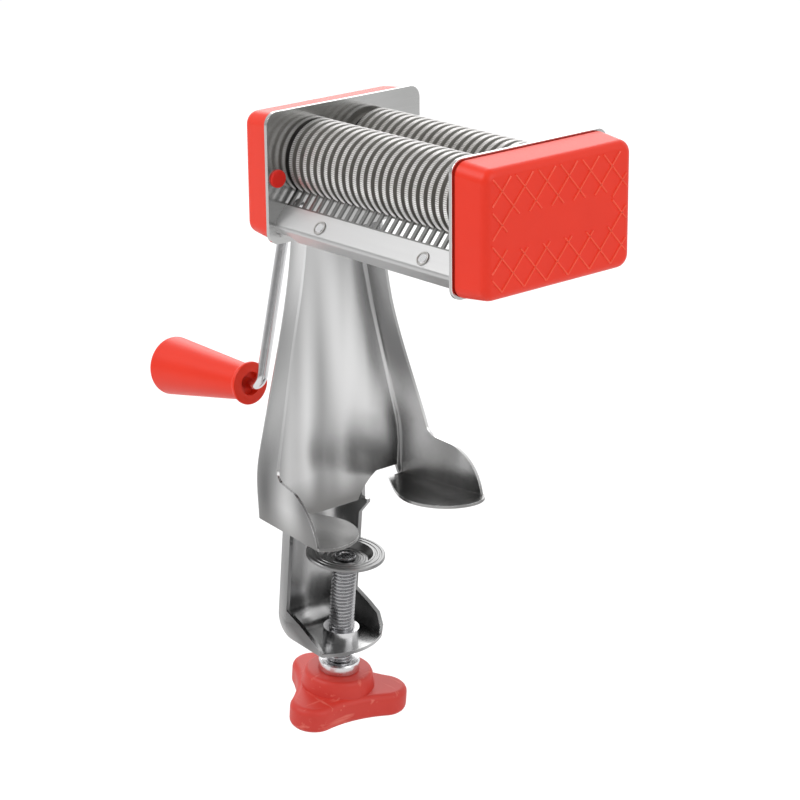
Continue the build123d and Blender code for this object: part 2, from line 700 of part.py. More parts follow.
with BuildPart() as lower_jaw:
    add(jaw_block(JAW_HALF_W, 0, 0))
    add(jaw_block(JAW_HALF_W - JAW_T * (1 - JAW_FLARE / 2), JAW_T, 1), mode=Mode.SUBTRACT)
    with BuildSketch(JAW_SIDE):
        with BuildLine():
            Polyline(
                (-JAW_BACK - 1, JAW_TOP),
                (-JAW_BACK - 1, JAW_FLOOR),
                (JAW_LIP + 1, JAW_FLOOR),
                (JAW_LIP + 1, JAW_FLOOR + JAW_T),
                (7.0, JAW_FLOOR + JAW_T),
                (6.0, -23.2),
                (2.0, -19.5),
                (-3.6, -17.0),
                (JAW_FLANGE - JAW_BACK, -14.0),
                (JAW_FLANGE - JAW_BACK, 20.0),
                (-8.0, 26.0),
                (-8.0, JAW_TOP),
                (-JAW_BACK - 1, JAW_TOP),
            )
        make_face()
    extrude(amount=JAW_LIP_R, both=True, mode=Mode.INTERSECT)
    with BuildSketch(CLAMP.offset(JAW_FLOOR - 1)):
        with Locations((JAW_LIP - JAW_LIP_R, 0)):
            Circle(JAW_LIP_R)
    extrude(amount=JAW_TOP - JAW_FLOOR + 2, mode=Mode.INTERSECT)
    with BuildSketch(CLAMP.offset(JAW_FLOOR - 1)):
        Circle(NUT_SPIGOT_R + FIT_GAP)
    extrude(amount=2 * JAW_T, mode=Mode.SUBTRACT)
    with BuildSketch(Plane.XZ):
        with Locations((STAND_X, -TONGUE_DROP)):
            Rectangle(30, JAW_TOP, align=(Align.MIN, Align.MIN))
    extrude(amount=JAW_LIP_R, both=True, mode=Mode.SUBTRACT)

with BuildPart() as jaw_nut:
    with BuildSketch(CLAMP.offset(JAW_FLOOR + JAW_T)):
        Circle(NUT_R)
    extrude(amount=NUT_H)
    with BuildSketch(CLAMP.offset(JAW_FLOOR + JAW_T)):
        Circle(NUT_SPIGOT_R)
    extrude(amount=-JAW_T - SPIGOT_PROUD)
    with BuildSketch(CLAMP.offset(JAW_FLOOR - JAW_T)):
        Circle(SCREW_R + RUN_GAP)
    extrude(amount=NUT_H + 3 * JAW_T, mode=Mode.SUBTRACT)

# ---------------------------------------------------------------- clamp screw
PAD_LOW = PAD_TOP - PAD_DISH - PAD_T

with BuildPart() as pressure_pad:
    with BuildSketch(JAW_SIDE):
        with BuildLine():
            Polyline(
                (TIP_R + RUN_GAP, PAD_LOW),
                (PAD_FLAT_R, PAD_LOW),
                (PAD_FLAT_R + PAD_SLOPE, PAD_TOP - PAD_T),
                (PAD_R, PAD_TOP - PAD_T),
                (PAD_R, PAD_TOP),
                (PAD_FLAT_R + PAD_SLOPE - PAD_T / 3, PAD_TOP),
                (PAD_FLAT_R - PAD_T / 3, PAD_LOW + PAD_T),
                (TIP_R + RUN_GAP, PAD_LOW + PAD_T),
                close=True,
            )
        make_face()
    revolve(axis=Axis(CLAMP.origin, SCREW_DIR))

with BuildPart() as clamp_screw:
    with BuildSketch(CLAMP.offset(SCREW_LOW)):
        Circle(SCREW_R)
    extrude(amount=PAD_LOW - PAD_PLAY - SCREW_LOW)
    with BuildSketch(CLAMP.offset(PAD_LOW - PAD_PLAY)):
        Circle(TIP_R)
    extrude(amount=PAD_T + 2 * PAD_PLAY)
    with BuildSketch(CLAMP.offset(PAD_LOW + PAD_T + PAD_PLAY)):
        Circle(TIP_HEAD_R)
    extrude(amount=TIP_HEAD_T)

with BuildPart() as knob_collar:
    with BuildSketch(CLAMP.offset(HUB_TOP)):
        Circle(COLLAR_R)
        Circle(SCREW_R + FIT_GAP, mode=Mode.SUBTRACT)
    extrude(amount=COLLAR_H)

with BuildPart() as clamp_knob:
    lobe_at = LOBE_REACH - LOBE_R
    lean = lobe_at * cos(pi / LOBES)
    room = LOBE_WAIST - lean
    waist_r = (LOBE_R**2 - room**2 - (lobe_at * sin(pi / LOBES)) ** 2) / (2 * (room - LOBE_R))
    waist_at = LOBE_WAIST + waist_r
    turns = [LOBE_TURN + 360 / LOBES * i for i in range(LOBES)]
    with BuildSketch(CLAMP.offset(KNOB_TOP)):
        with BuildLine():
            for turn in turns:
                tip = Vector(lobe_at, 0).rotate(Axis.Z, turn)
                ahead = Vector(waist_at, 0).rotate(Axis.Z, turn + 180 / LOBES)
                behind = Vector(waist_at, 0).rotate(Axis.Z, turn - 180 / LOBES)
                onward = Vector(lobe_at, 0).rotate(Axis.Z, turn + 360 / LOBES)
                start = tip + (behind - tip).normalized() * LOBE_R
                end = tip + (ahead - tip).normalized() * LOBE_R
                next_start = onward + (ahead - onward).normalized() * LOBE_R
                ThreePointArc(start, Vector(LOBE_REACH, 0).rotate(Axis.Z, turn), end)
                waist = Vector(LOBE_WAIST, 0).rotate(Axis.Z, turn + 180 / LOBES)
                ThreePointArc(end, waist, next_start)
        make_face()
    extrude(amount=-KNOB_H)
    chamfer(clamp_knob.faces().sort_by(Axis.Z)[-1].edges(), KNOB_CHAMFER)
    chamfer(clamp_knob.faces().sort_by(Axis.Z)[0].edges(), KNOB_CHAMFER)
    with BuildSketch(CLAMP.offset(KNOB_TOP - KNOB_CHAMFER)):
        Circle(HUB_R)
    extrude(amount=HUB_TOP - KNOB_TOP + KNOB_CHAMFER)
    chamfer(clamp_knob.faces().sort_by(Axis.Z)[-1].edges(), HUB_CHAMFER)
    with BuildSketch(CLAMP.offset(SCREW_LOW)):
        Circle(SCREW_R + FIT_GAP)
    extrude(amount=HUB_TOP - SCREW_LOW, mode=Mode.SUBTRACT)

# ---------------------------------------------------------------- crank and grip
ARM_DIR = Vector(0, -sin(radians(ARM_LEAN)), -cos(radians(ARM_LEAN)))
PIN_DIR = Vector(-cos(radians(PIN_DROOP)), 0, 0) + ARM_DIR * sin(radians(PIN_DROOP))
SHAFT_MOUTH = Vector(REAR_SHAFT_END, ROLLER_Y, ROLLER_Z)
ARM_TOP = SHAFT_MOUTH - Vector(ARM_OFF, 0, 0)
ARM_FOOT = ARM_TOP + ARM_DIR * ARM_LENGTH
PIN_END = ARM_FOOT + PIN_DIR * PIN_LENGTH

with BuildPart() as crank_rod:
    rod_start = SHAFT_MOUTH + Vector(ROD_IN_SHAFT, 0, 0)
    with BuildLine() as rod_path:
        FilletPolyline(rod_start, ARM_TOP, ARM_FOOT, PIN_END, radius=ROD_BEND_R)
    with BuildSketch(Plane(origin=rod_start, z_dir=(-1, 0, 0))):
        RegularPolygon(ROD_R, PIN_SIDES)
    sweep(path=rod_path.line)
    with BuildSketch(Plane(origin=PIN_END, z_dir=PIN_DIR)):
        Circle(BULB_R)
    extrude(amount=-BULB_L)

GRIP_END = GRIP_FROM + GRIP_L
GRIP_SHOULDER = GRIP_END - GRIP_DOME
GRIP_LIP = [(0.0, GRIP_LIP_R), (LIP_W, GRIP_LIP_R), (NECK_FROM, GRIP_NECK_R)]
GRIP_RINGS = [(GRIP_FROM + along, r) for along, r in GRIP_LIP]
for step in range(DOME_STEPS + 1):
    rise = step / (DOME_STEPS + 0.5) * pi / 2
    GRIP_RINGS.append((GRIP_SHOULDER + GRIP_DOME * sin(rise), GRIP_BIG_R * cos(rise)))

with BuildPart() as grip:
    for along, r in GRIP_RINGS:
        with BuildSketch(Plane(origin=ARM_FOOT + PIN_DIR * along, z_dir=PIN_DIR)):
            RegularPolygon(r, GRIP_SIDES)
    loft(ruled=True)
    for start, end, r in (
        (GRIP_FROM, GRIP_FROM + GRIP_MOUTH, GRIP_MOUTH_R),
        (GRIP_FROM, PIN_LENGTH, ROD_R + RUN_GAP),
        (PIN_LENGTH - BULB_L - BULB_PLAY, PIN_LENGTH + BULB_PLAY, BULB_R + RUN_GAP),
    ):
        with BuildSketch(Plane(origin=ARM_FOOT + PIN_DIR * start, z_dir=PIN_DIR)):
            Circle(r)
        extrude(amount=end - start, mode=Mode.SUBTRACT)

# ---------------------------------------------------------------- labels and files
left_side_plate.part.label = "left_side_plate"
export_step(left_side_plate.part, "parts/left_side_plate.step")
right_side_plate.part.label = "right_side_plate"
export_step(right_side_plate.part, "parts/right_side_plate.step")
front_cross_bar.part.label = "front_cross_bar"
export_step(front_cross_bar.part, "parts/front_cross_bar.step")
rear_cross_bar.part.label = "rear_cross_bar"
export_step(rear_cross_bar.part, "parts/rear_cross_bar.step")
front_comb.part.label = "front_comb"
export_step(front_comb.part, "parts/front_comb.step")
rear_comb.part.label = "rear_comb"
export_step(rear_comb.part, "parts/rear_comb.step")
comb_rivets.part.label = "comb_rivets"
export_step(comb_rivets.part, "parts/comb_rivets.step")
shaft_bushes.part.label = "shaft_bushes"
export_step(shaft_bushes.part, "parts/shaft_bushes.step")
front_roller.part.label = "front_roller"
export_step(front_roller.part, "parts/front_roller.step")
rear_roller.part.label = "rear_roller"
export_step(rear_roller.part, "parts/rear_roller.step")
front_shaft_clips.part.label = "front_shaft_clips"
export_step(front_shaft_clips.part, "parts/front_shaft_clips.step")
rear_shaft_clips.part.label = "rear_shaft_clips"
export_step(rear_shaft_clips.part, "parts/rear_shaft_clips.step")
front_gear.part.label = "front_gear"
export_step(front_gear.part, "parts/front_gear.step")
rear_gear.part.label = "rear_gear"
export_step(rear_gear.part, "parts/rear_gear.step")
left_cover.part.label = "left_cover"
export_step(left_cover.part, "parts/left_cover.step")
right_cover.part.label = "right_cover"
export_step(right_cover.part, "parts/right_cover.step")
left_cover_pegs.part.label = "left_cover_pegs"
export_step(left_cover_pegs.part, "parts/left_cover_pegs.step")
right_cover_pegs.part.label = "right_cover_pegs"
export_step(right_cover_pegs.part, "parts/right_cover_pegs.step")
stand.part.label = "stand"
export_step(stand.part, "parts/stand.step")
stand_rivets.part.label = "stand_rivets"
export_step(stand_rivets.part, "parts/stand_rivets.step")
lower_jaw.part.label = "lower_jaw"
export_step(lower_jaw.part, "parts/lower_jaw.step")
jaw_nut.part.label = "jaw_nut"
export_step(jaw_nut.part, "parts/jaw_nut.step")
pressure_pad.part.label = "pressure_pad"
export_step(pressure_pad.part, "parts/pressure_pad.step")
clamp_screw.part.label = "clamp_screw"
export_step(clamp_screw.part, "parts/clamp_screw.step")
knob_collar.part.label = "knob_collar"
export_step(knob_collar.part, "parts/knob_collar.step")
clamp_knob.part.label = "clamp_knob"
export_step(clamp_knob.part, "parts/clamp_knob.step")
crank_rod.part.label = "crank_rod"
export_step(crank_rod.part, "parts/crank_rod.step")
grip.part.label = "grip"
export_step(grip.part, "parts/grip.step")
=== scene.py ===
"""Looks of the hand-cranked noodle cutter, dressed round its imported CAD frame.

Everything is in metres, in the frame of the CAD model: X runs along the two cutting
rollers, the crank is at -X, the front is -Y and the table top is at z = 0. Sizes in the
classes' fields are in millimetres, and angles in degrees, unless a field says otherwise.
"""

import logging
import math
from dataclasses import dataclass, field
from enum import Enum
from typing import Callable, Sequence

import bpy
from mathutils import Matrix, Vector


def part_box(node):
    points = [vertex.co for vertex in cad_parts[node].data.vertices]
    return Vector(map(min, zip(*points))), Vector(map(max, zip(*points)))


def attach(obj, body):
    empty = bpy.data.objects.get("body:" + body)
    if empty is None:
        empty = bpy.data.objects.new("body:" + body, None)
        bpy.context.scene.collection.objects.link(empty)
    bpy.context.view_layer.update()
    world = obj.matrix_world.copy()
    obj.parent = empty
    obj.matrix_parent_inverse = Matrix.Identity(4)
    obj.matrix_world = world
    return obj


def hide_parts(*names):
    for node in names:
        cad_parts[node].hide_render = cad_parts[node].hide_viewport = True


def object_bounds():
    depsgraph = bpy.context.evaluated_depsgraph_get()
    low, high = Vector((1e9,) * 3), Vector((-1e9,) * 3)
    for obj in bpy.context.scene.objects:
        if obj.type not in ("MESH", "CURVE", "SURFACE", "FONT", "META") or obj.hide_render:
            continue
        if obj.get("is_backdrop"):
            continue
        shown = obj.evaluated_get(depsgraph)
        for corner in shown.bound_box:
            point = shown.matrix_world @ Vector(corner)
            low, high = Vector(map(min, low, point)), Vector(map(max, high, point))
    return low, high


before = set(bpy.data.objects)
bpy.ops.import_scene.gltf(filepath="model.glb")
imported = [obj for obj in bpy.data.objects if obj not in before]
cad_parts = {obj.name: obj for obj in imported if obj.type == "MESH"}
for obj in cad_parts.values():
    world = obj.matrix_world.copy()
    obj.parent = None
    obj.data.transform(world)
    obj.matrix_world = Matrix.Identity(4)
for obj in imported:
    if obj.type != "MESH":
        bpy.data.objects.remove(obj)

log = logging.getLogger("noodle_cutter")

Piece = bpy.types.Object
Material = bpy.types.Material
Node = bpy.types.Node
Socket = bpy.types.NodeSocket
Colour = tuple[float, float, float]
Point = tuple[float, float, float]
Spot = tuple[float, float]
Section = tuple[Spot, ...]

MM = 0.001
MERGE = 1e-6  # metres between vertices that are one
NODE_MERGE = 2e-6  # the same, in a CAD node's loose triangles
NEAR = 1e-5  # metres within which a place counts as on a plane
FLAT = math.radians(0.4)  # faces of one CAD plane differ by less
EDGE = math.radians(40)  # sharper edges than this get a round
ALIGNED = 0.9  # cosines of directions that count as along an axis
ACROSS = 0.1  # and as across it
NORMAL_WEIGHT = 80
WHITE = (1.0, 1.0, 1.0)
ALONG_X = Vector((1, 0, 0))
ALONG_Y = Vector((0, 1, 0))


class Side(Enum):
    """The two ends of the rollers, as the sign of X."""

    LEFT = -1
    RIGHT = 1

    @property
    def word(self) -> str:
        """The side's name as the CAD nodes spell it."""
        return self.name.lower()


class Slot(Enum):
    """Material slots of the record."""

    RED = "red_plastic"
    POLISHED = "polished_steel"
    BRUSHED = "brushed_steel"
    ROLLER = "roller_steel"
    PLATED = "plated_steel"


class Element(Enum):
    """Kinds of mesh element that can be selected."""

    VERTEX = "VERT"
    EDGE = "EDGE"
    FACE = "FACE"


# ---------------------------------------------------------------- modelling tools
def deselect_all() -> None:
    """Leaves object mode with nothing selected."""
    if bpy.context.object and bpy.context.object.mode == "EDIT":
        bpy.ops.object.mode_set(mode="OBJECT")
    bpy.ops.object.select_all(action="DESELECT")


def make_active(piece: Piece) -> None:
    """Selects one object alone and makes it the active one."""
    deselect_all()
    piece.select_set(True)
    bpy.context.view_layer.objects.active = piece


def edit_all(piece: Piece) -> None:
    """Enters edit mode on one object with everything in it selected."""
    make_active(piece)
    bpy.ops.object.mode_set(mode="EDIT")
    bpy.ops.mesh.select_all(action="SELECT")


def clear_selection(piece: Piece, kind: Element) -> None:
    """Leaves nothing selected inside a mesh, ready for elements of one kind."""
    make_active(piece)
    bpy.ops.object.mode_set(mode="EDIT")
    bpy.ops.mesh.select_mode(type=kind.value)
    bpy.ops.mesh.select_all(action="DESELECT")
    bpy.ops.object.mode_set(mode="OBJECT")


def select_where(piece: Piece, kind: Element, test: Callable[[Vector, Vector], bool]) -> None:
    """Selects a mesh's elements by place and direction, and enters edit mode on them.

    Args:
        piece: the object whose mesh is selected in.
        kind: what is selected.
        test: takes an element's middle and its normal or direction, both in the mesh's frame.
    """
    clear_selection(piece, kind)
    mesh = piece.data
    if kind is Element.VERTEX:
        for vertex in mesh.vertices:
            vertex.select = test(vertex.co, vertex.normal)
    elif kind is Element.EDGE:
        for edge in mesh.edges:
            first, second = (mesh.vertices[i].co for i in edge.vertices)
            edge.select = test((first + second) / 2, (second - first).normalized())
    else:
        for face in mesh.polygons:
            face.select = test(face.center, face.normal)
    bpy.ops.object.mode_set(mode="EDIT")


def settle(piece: Piece) -> None:
    """Puts an object's place into its mesh, so that the object sits at the origin."""
    make_active(piece)
    bpy.ops.object.transform_apply(location=True, rotation=True, scale=True)


def recalculate(piece: Piece) -> None:
    """Merges doubled vertices and turns all faces outwards."""
    edit_all(piece)
    bpy.ops.mesh.remove_doubles(threshold=MERGE)
    bpy.ops.mesh.normals_make_consistent(inside=False)
    bpy.ops.object.mode_set(mode="OBJECT")


def apply_modifier(piece: Piece, kind: str, **settings: object) -> None:
    """Adds a modifier and applies it.

    Args:
        piece: the object to work on.
        kind: Blender's name of the modifier.
        settings: the modifier's settings.
    """
    make_active(piece)
    modifier = piece.modifiers.new(kind.title(), kind)
    for name, value in settings.items():
        setattr(modifier, name, value)
    bpy.ops.object.modifier_apply(modifier=modifier.name)


def soften(piece: Piece, width: float, edge_slot: int) -> None:
    """Breaks a mesh's sharp edges with a small round of two faces.

    Args:
        piece: the object to work on.
        width: width of the round in metres.
        edge_slot: material slot of the new faces.
    """
    apply_modifier(
        piece,
        "BEVEL",
        width=width,
        segments=2,
        limit_method="ANGLE",
        angle_limit=EDGE,
        use_clamp_overlap=True,
        material=edge_slot,
        harden_normals=False,
    )


def smooth(piece: Piece, angle: float = 35.0) -> None:
    """Shades faces smooth where they meet at less than this angle, and keeps flat ones flat."""
    make_active(piece)
    bpy.ops.object.shade_smooth_by_angle(angle=math.radians(angle), keep_sharp_edges=True)
    apply_modifier(piece, "WEIGHTED_NORMAL", keep_sharp=True, weight=NORMAL_WEIGHT)


def closed_line(points: Sequence[Vector], name: str) -> Piece:
    """Makes a closed loop of edges from a circle with as many corners.

    Args:
        points: the loop's corners in metres.
        name: the loop's name.

    Returns:
        The loop.
    """
    deselect_all()
    bpy.ops.mesh.primitive_circle_add(vertices=len(points), radius=MM, fill_type="NOTHING")
    line = bpy.context.object
    line.name = name
    for vertex, point in zip(line.data.vertices, points):
        vertex.co = point
    return line


def open_line(points: Sequence[Vector], name: str) -> Piece:
    """Makes an open run of edges: a closed loop without its last edge.

    Args:
        points: the run's corners in metres.
        name: the run's name.

    Returns:
        The run.
    """
    line = closed_line(points, name)
    clear_selection(line, Element.EDGE)
    for edge in line.data.edges:
        edge.select = set(edge.vertices) == {0, len(points) - 1}
    bpy.ops.object.mode_set(mode="EDIT")
    bpy.ops.mesh.delete(type="EDGE")
    bpy.ops.object.mode_set(mode="OBJECT")
    return line


@dataclass(frozen=True)
class Axle:
    """A line to turn things about: a foot, a direction along it and one square to it."""

    foot: Vector
    along: Vector
    out: Vector

    def at(self, along: float, out: float) -> Vector:
        """The point this far along the axle and this far out from it, in metres."""
        return self.foot + self.along * along + self.out * out


def lathe(name: str, axle: Axle, section: Sequence[Spot], steps: int, ring: bool = False) -> Piece:
    """Spins a section about an axle into a closed solid.

    Args:
        name: the piece's name.
        axle: the axle to spin about.
        section: points as (along, radius) in millimetres.
        steps: faces round the axle.
        ring: True if the section is a closed loop clear of the axle.

    Returns:
        The new object.
    """
    points = [axle.at(along * MM, radius * MM) for along, radius in section]
    piece = closed_line(points, name) if ring else open_line(points, name)
    edit_all(piece)
    bpy.ops.mesh.spin(
        steps=steps, angle=2 * math.pi, center=axle.foot, axis=axle.along, use_auto_merge=True
    )
    bpy.ops.object.mode_set(mode="OBJECT")
    recalculate(piece)
    return piece


def join(name: str, pieces: Sequence[Piece]) -> Piece:
    """Joins pieces into the first of them.

    Args:
        name: the joined piece's name.
        pieces: the pieces to join.

    Returns:
        The joined piece.
    """
    deselect_all()
    for piece in pieces:
        piece.select_set(True)
    bpy.context.view_layer.objects.active = pieces[0]
    bpy.ops.object.join()
    pieces[0].name = name
    return pieces[0]


def block(name: str, low: Vector, high: Vector) -> Piece:
    """Makes a box with its place in its mesh.

    Args:
        name: the box's name.
        low: its lowest corner in metres.
        high: its highest corner.

    Returns:
        The box.
    """
    deselect_all()
    bpy.ops.mesh.primitive_cube_add(size=1, location=(low + high) / 2)
    piece = bpy.context.object
    piece.name = name
    piece.scale = high - low
    settle(piece)
    return piece


def cut_away(piece: Piece, cutter: Piece) -> None:
    """Subtracts a cutter from a piece and removes the cutter."""
    apply_modifier(piece, "BOOLEAN", operation="DIFFERENCE", object=cutter, solver="EXACT")
    bpy.data.objects.remove(cutter)


def copy_of_node(node: str, name: str) -> Piece:
    """Copies a CAD node's mesh, merged and with its flat faces joined up, to be dressed.

    Args:
        node: the CAD node.
        name: the copy's name.

    Returns:
        The copy, in the node's place.
    """
    piece = bpy.data.objects.new(name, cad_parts[node].data.copy())
    bpy.context.scene.collection.objects.link(piece)
    piece.data.materials.clear()
    if piece.data.has_custom_normals:
        make_active(piece)
        bpy.ops.mesh.customdata_custom_splitnormals_clear()
    edit_all(piece)
    bpy.ops.mesh.remove_doubles(threshold=NODE_MERGE)
    bpy.ops.mesh.dissolve_limited(angle_limit=FLAT)
    bpy.ops.object.mode_set(mode="OBJECT")
    return piece


def finish_piece(
    piece: Piece, body: str, materials: Sequence[Material], node: str
) -> None:
    """Gives a piece its materials and its body, and hides the CAD node that it stands for.

    Args:
        piece: the finished object.
        body: the CAD body it rides on.
        materials: materials in slot order, the first one the main one.
        node: the CAD node that the piece replaces.
    """
    for index, material in enumerate(materials):
        if index < len(piece.data.materials):
            piece.data.materials[index] = material
        else:
            piece.data.materials.append(material)
    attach(piece, body)
    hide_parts(node)
    log.info("%s: %d faces, rides on %s", piece.name, len(piece.data.polygons), body)


def middle_of(node: str) -> Vector:
    """The middle of a CAD node's box."""
    low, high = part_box(node)
    return (low + high) / 2


def plate_face(side: Side, outer: bool) -> float:
    """The X of a side plate's outer or inner face, in metres."""
    low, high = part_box(f"{side.word}_side_plate")
    return high.x if (side is Side.RIGHT) == outer else low.x


# ---------------------------------------------------------------- shader tools
class Sheet:
    """A node tree that is filled from left to right."""

    def __init__(self, tree: bpy.types.NodeTree) -> None:
        """Starts on an emptied tree."""
        self.tree = tree
        tree.nodes.clear()

    def node(self, kind: str, inputs: dict | None = None, **settings: object) -> Node:
        """Adds a node.

        Args:
            kind: Blender's name of the node.
            inputs: what goes into its inputs, as values or as sockets to link.
            settings: the node's own settings, made first.

        Returns:
            The node.
        """
        made = self.tree.nodes.new(kind)
        for name, value in settings.items():
            setattr(made, name, value)
        for key, value in (inputs or {}).items():
            if isinstance(value, Socket):
                self.tree.links.new(value, made.inputs[key])
            else:
                made.inputs[key].default_value = value
        return made

    def ramp(self, value: Socket, stops: Sequence[tuple[float, Colour]]) -> Socket:
        """Colours a value by a ramp.

        Args:
            value: the value, from 0 to 1.
            stops: places on the ramp and their colours.

        Returns:
            The colour.
        """
        made = self.node("ShaderNodeValToRGB", {"Fac": value})
        elements = made.color_ramp.elements
        while len(elements) < len(stops):
            elements.new(0.5)
        for element, (place, colour) in zip(elements, stops):
            element.position = place
            element.color = (*colour, 1.0)
        return made.outputs["Color"]

    def mix(self, mask: Socket, first: Colour | Socket, second: Colour | Socket) -> Socket:
        """Mixes two colours.

        Args:
            mask: 0 for the first colour, 1 for the second.
            first: a colour or the socket of one.
            second: the same.

        Returns:
            The mixed colour.
        """
        inputs = {0: mask}
        for key, colour in ((6, first), (7, second)):
            inputs[key] = colour if isinstance(colour, Socket) else (*colour, 1.0)
        return self.node("ShaderNodeMix", inputs, data_type="RGBA").outputs[2]

    def maths(self, operation: str, first: float | Socket, second: float | Socket) -> Socket:
        """One arithmetic step on two numbers or sockets."""
        return self.node("ShaderNodeMath", {0: first, 1: second}, operation=operation).outputs[0]

    def scaled(self, value: Socket, factor: float, base: float | Socket) -> Socket:
        """A value times a factor, added to a base."""
        return self.maths("ADD", self.maths("MULTIPLY", value, factor), base)

    def remap(
        self, value: Socket, low: float, high: float, start: float = 0.0, end: float = 1.0
    ) -> Socket:
        """Maps a value from one range to another.

        Args:
            value: the value.
            low: where the first range starts.
            high: where it ends.
            start: where the second range starts.
            end: where it ends.

        Returns:
            The mapped value.
        """
        given = {"Value": value, "From Min": low, "From Max": high, "To Min": start, "To Max": end}
        return self.node("ShaderNodeMapRange", given).outputs[0]

    def stretched(self, place: Socket, by: Point | Socket) -> Socket:
        """Coordinates multiplied axis by axis."""
        return self.node("ShaderNodeVectorMath", {0: place, 1: by}, operation="MULTIPLY").outputs[0]

    def noise(
        self, place: Socket, scale: float | Socket, detail: float, roughness: float = 0.5
    ) -> Socket:
        """Smooth noise of this scale, detail and roughness."""
        given = {"Vector": place, "Scale": scale, "Detail": detail, "Roughness": roughness}
        return self.node("ShaderNodeTexNoise", given).outputs["Fac"]

    def bump(self, height: Socket, depth: float, under: Socket | None = None) -> Socket:
        """The normal of a height of this depth in metres, on another normal if one is given."""
        given = {"Height": height, "Strength": 1.0, "Distance": depth}
        if under:
            given["Normal"] = under
        return self.node("ShaderNodeBump", given).outputs["Normal"]

    def shader(self, kind: str, **inputs: object) -> Socket:
        """The output of a shader node with these inputs."""
        return self.node(kind, inputs).outputs[0]

    def choose(self, mask: Socket, first: Socket, second: Socket) -> Socket:
        """The first shader where the mask is 0 and the second where it is 1."""
        return self.node("ShaderNodeMixShader", {0: mask, 1: first, 2: second}).outputs[0]

    def close(self, surface: dict[str, object]) -> None:
        """Ends a material with a Principled BSDF that takes these inputs."""
        shader = self.node("ShaderNodeBsdfPrincipled", surface)
        self.node("ShaderNodeOutputMaterial", {"Surface": shader.outputs["BSDF"]})


def effect_group(
    name: str,
    inputs: dict[str, tuple[str, object]],
    outputs: Sequence[str],
    fill: Callable[[Sheet, Node, Node], None],
) -> bpy.types.NodeTree:
    """A shader node group, built once.

    Args:
        name: the group's name.
        inputs: socket type and default of each input by name.
        outputs: names of its value outputs.
        fill: draws the inside from the group's input and output nodes.

    Returns:
        The group.
    """
    if name in bpy.data.node_groups:
        return bpy.data.node_groups[name]
    tree = bpy.data.node_groups.new(name, "ShaderNodeTree")
    for socket, (kind, default) in inputs.items():
        made = tree.interface.new_socket(socket, in_out="INPUT", socket_type=kind)
        if default is not None:
            made.default_value = default
    for socket in outputs:
        tree.interface.new_socket(socket, in_out="OUTPUT", socket_type="NodeSocketFloat")
    sheet = Sheet(tree)
    fill(sheet, sheet.node("NodeGroupInput"), sheet.node("NodeGroupOutput"))
    return tree


def fill_grain(sheet: Sheet, given: Node, put: Node) -> None:
    """Draws fine noise stretched by the group's own factors, and wide soft clouds."""
    place = given.outputs["Vector"]
    lines = sheet.noise(sheet.stretched(place, given.outputs["Stretch"]), 1.0, 5.0, 0.62)
    clouds = sheet.noise(place, given.outputs["Cloud scale"], 2.0)
    sheet.tree.links.new(lines, put.inputs["Lines"])
    sheet.tree.links.new(clouds, put.inputs["Clouds"])


def fill_scuffs(sheet: Sheet, given: Node, put: Node) -> None:
    """Draws two sets of long thin noise turned across each other, cut to sharp marks."""
    marks = []
    for turn, stretch in ((0.5, (0.10, 1.0, 1.0)), (2.0, (1.0, 0.12, 1.0))):
        placed = {"Vector": given.outputs["Vector"], "Rotation": (turn, turn, turn), "Scale": stretch}
        turned = sheet.node("ShaderNodeMapping", placed).outputs[0]
        marks.append(sheet.remap(sheet.noise(turned, given.outputs["Scale"], 3.0), 0.64, 0.72))
    sheet.tree.links.new(sheet.maths("MAXIMUM", *marks), put.inputs["Marks"])


def grain(sheet: Sheet, place: Socket, stretch: Point, cloud_scale: float) -> tuple[Socket, Socket]:
    """Places the grain effect in a material.

    Args:
        sheet: the material's nodes.
        place: the coordinates it is drawn on.
        stretch: how often its lines repeat in a metre, axis by axis.
        cloud_scale: how often its clouds repeat in a metre.

    Returns:
        The lines and the clouds, each from 0 to 1.
    """
    inputs = {
        "Vector": ("NodeSocketVector", None),
        "Stretch": ("NodeSocketVector", (1.0, 1.0, 1.0)),
        "Cloud scale": ("NodeSocketFloat", 30.0),
    }
    group = effect_group("drawn_grain", inputs, ["Lines", "Clouds"], fill_grain)
    given = {"Vector": place, "Stretch": stretch, "Cloud scale": cloud_scale}
    made = sheet.node("ShaderNodeGroup", given, node_tree=group)
    return made.outputs["Lines"], made.outputs["Clouds"]


def scuffs(sheet: Sheet, place: Socket) -> Socket:
    """Places the scuffs effect in a material: 1 on a mark and 0 off it."""
    inputs = {"Vector": ("NodeSocketVector", None), "Scale": ("NodeSocketFloat", 300.0)}
    group = effect_group("scuffs", inputs, ["Marks"], fill_scuffs)
    return sheet.node("ShaderNodeGroup", {"Vector": place}, node_tree=group).outputs["Marks"]


def start_material(name: str) -> tuple[Material, Sheet, Socket]:
    """A new material, its node sheet and its Object coordinates."""
    material = bpy.data.materials.new(name)
    material.use_nodes = True
    sheet = Sheet(material.node_tree)
    return material, sheet, sheet.node("ShaderNodeTexCoord").outputs["Object"]


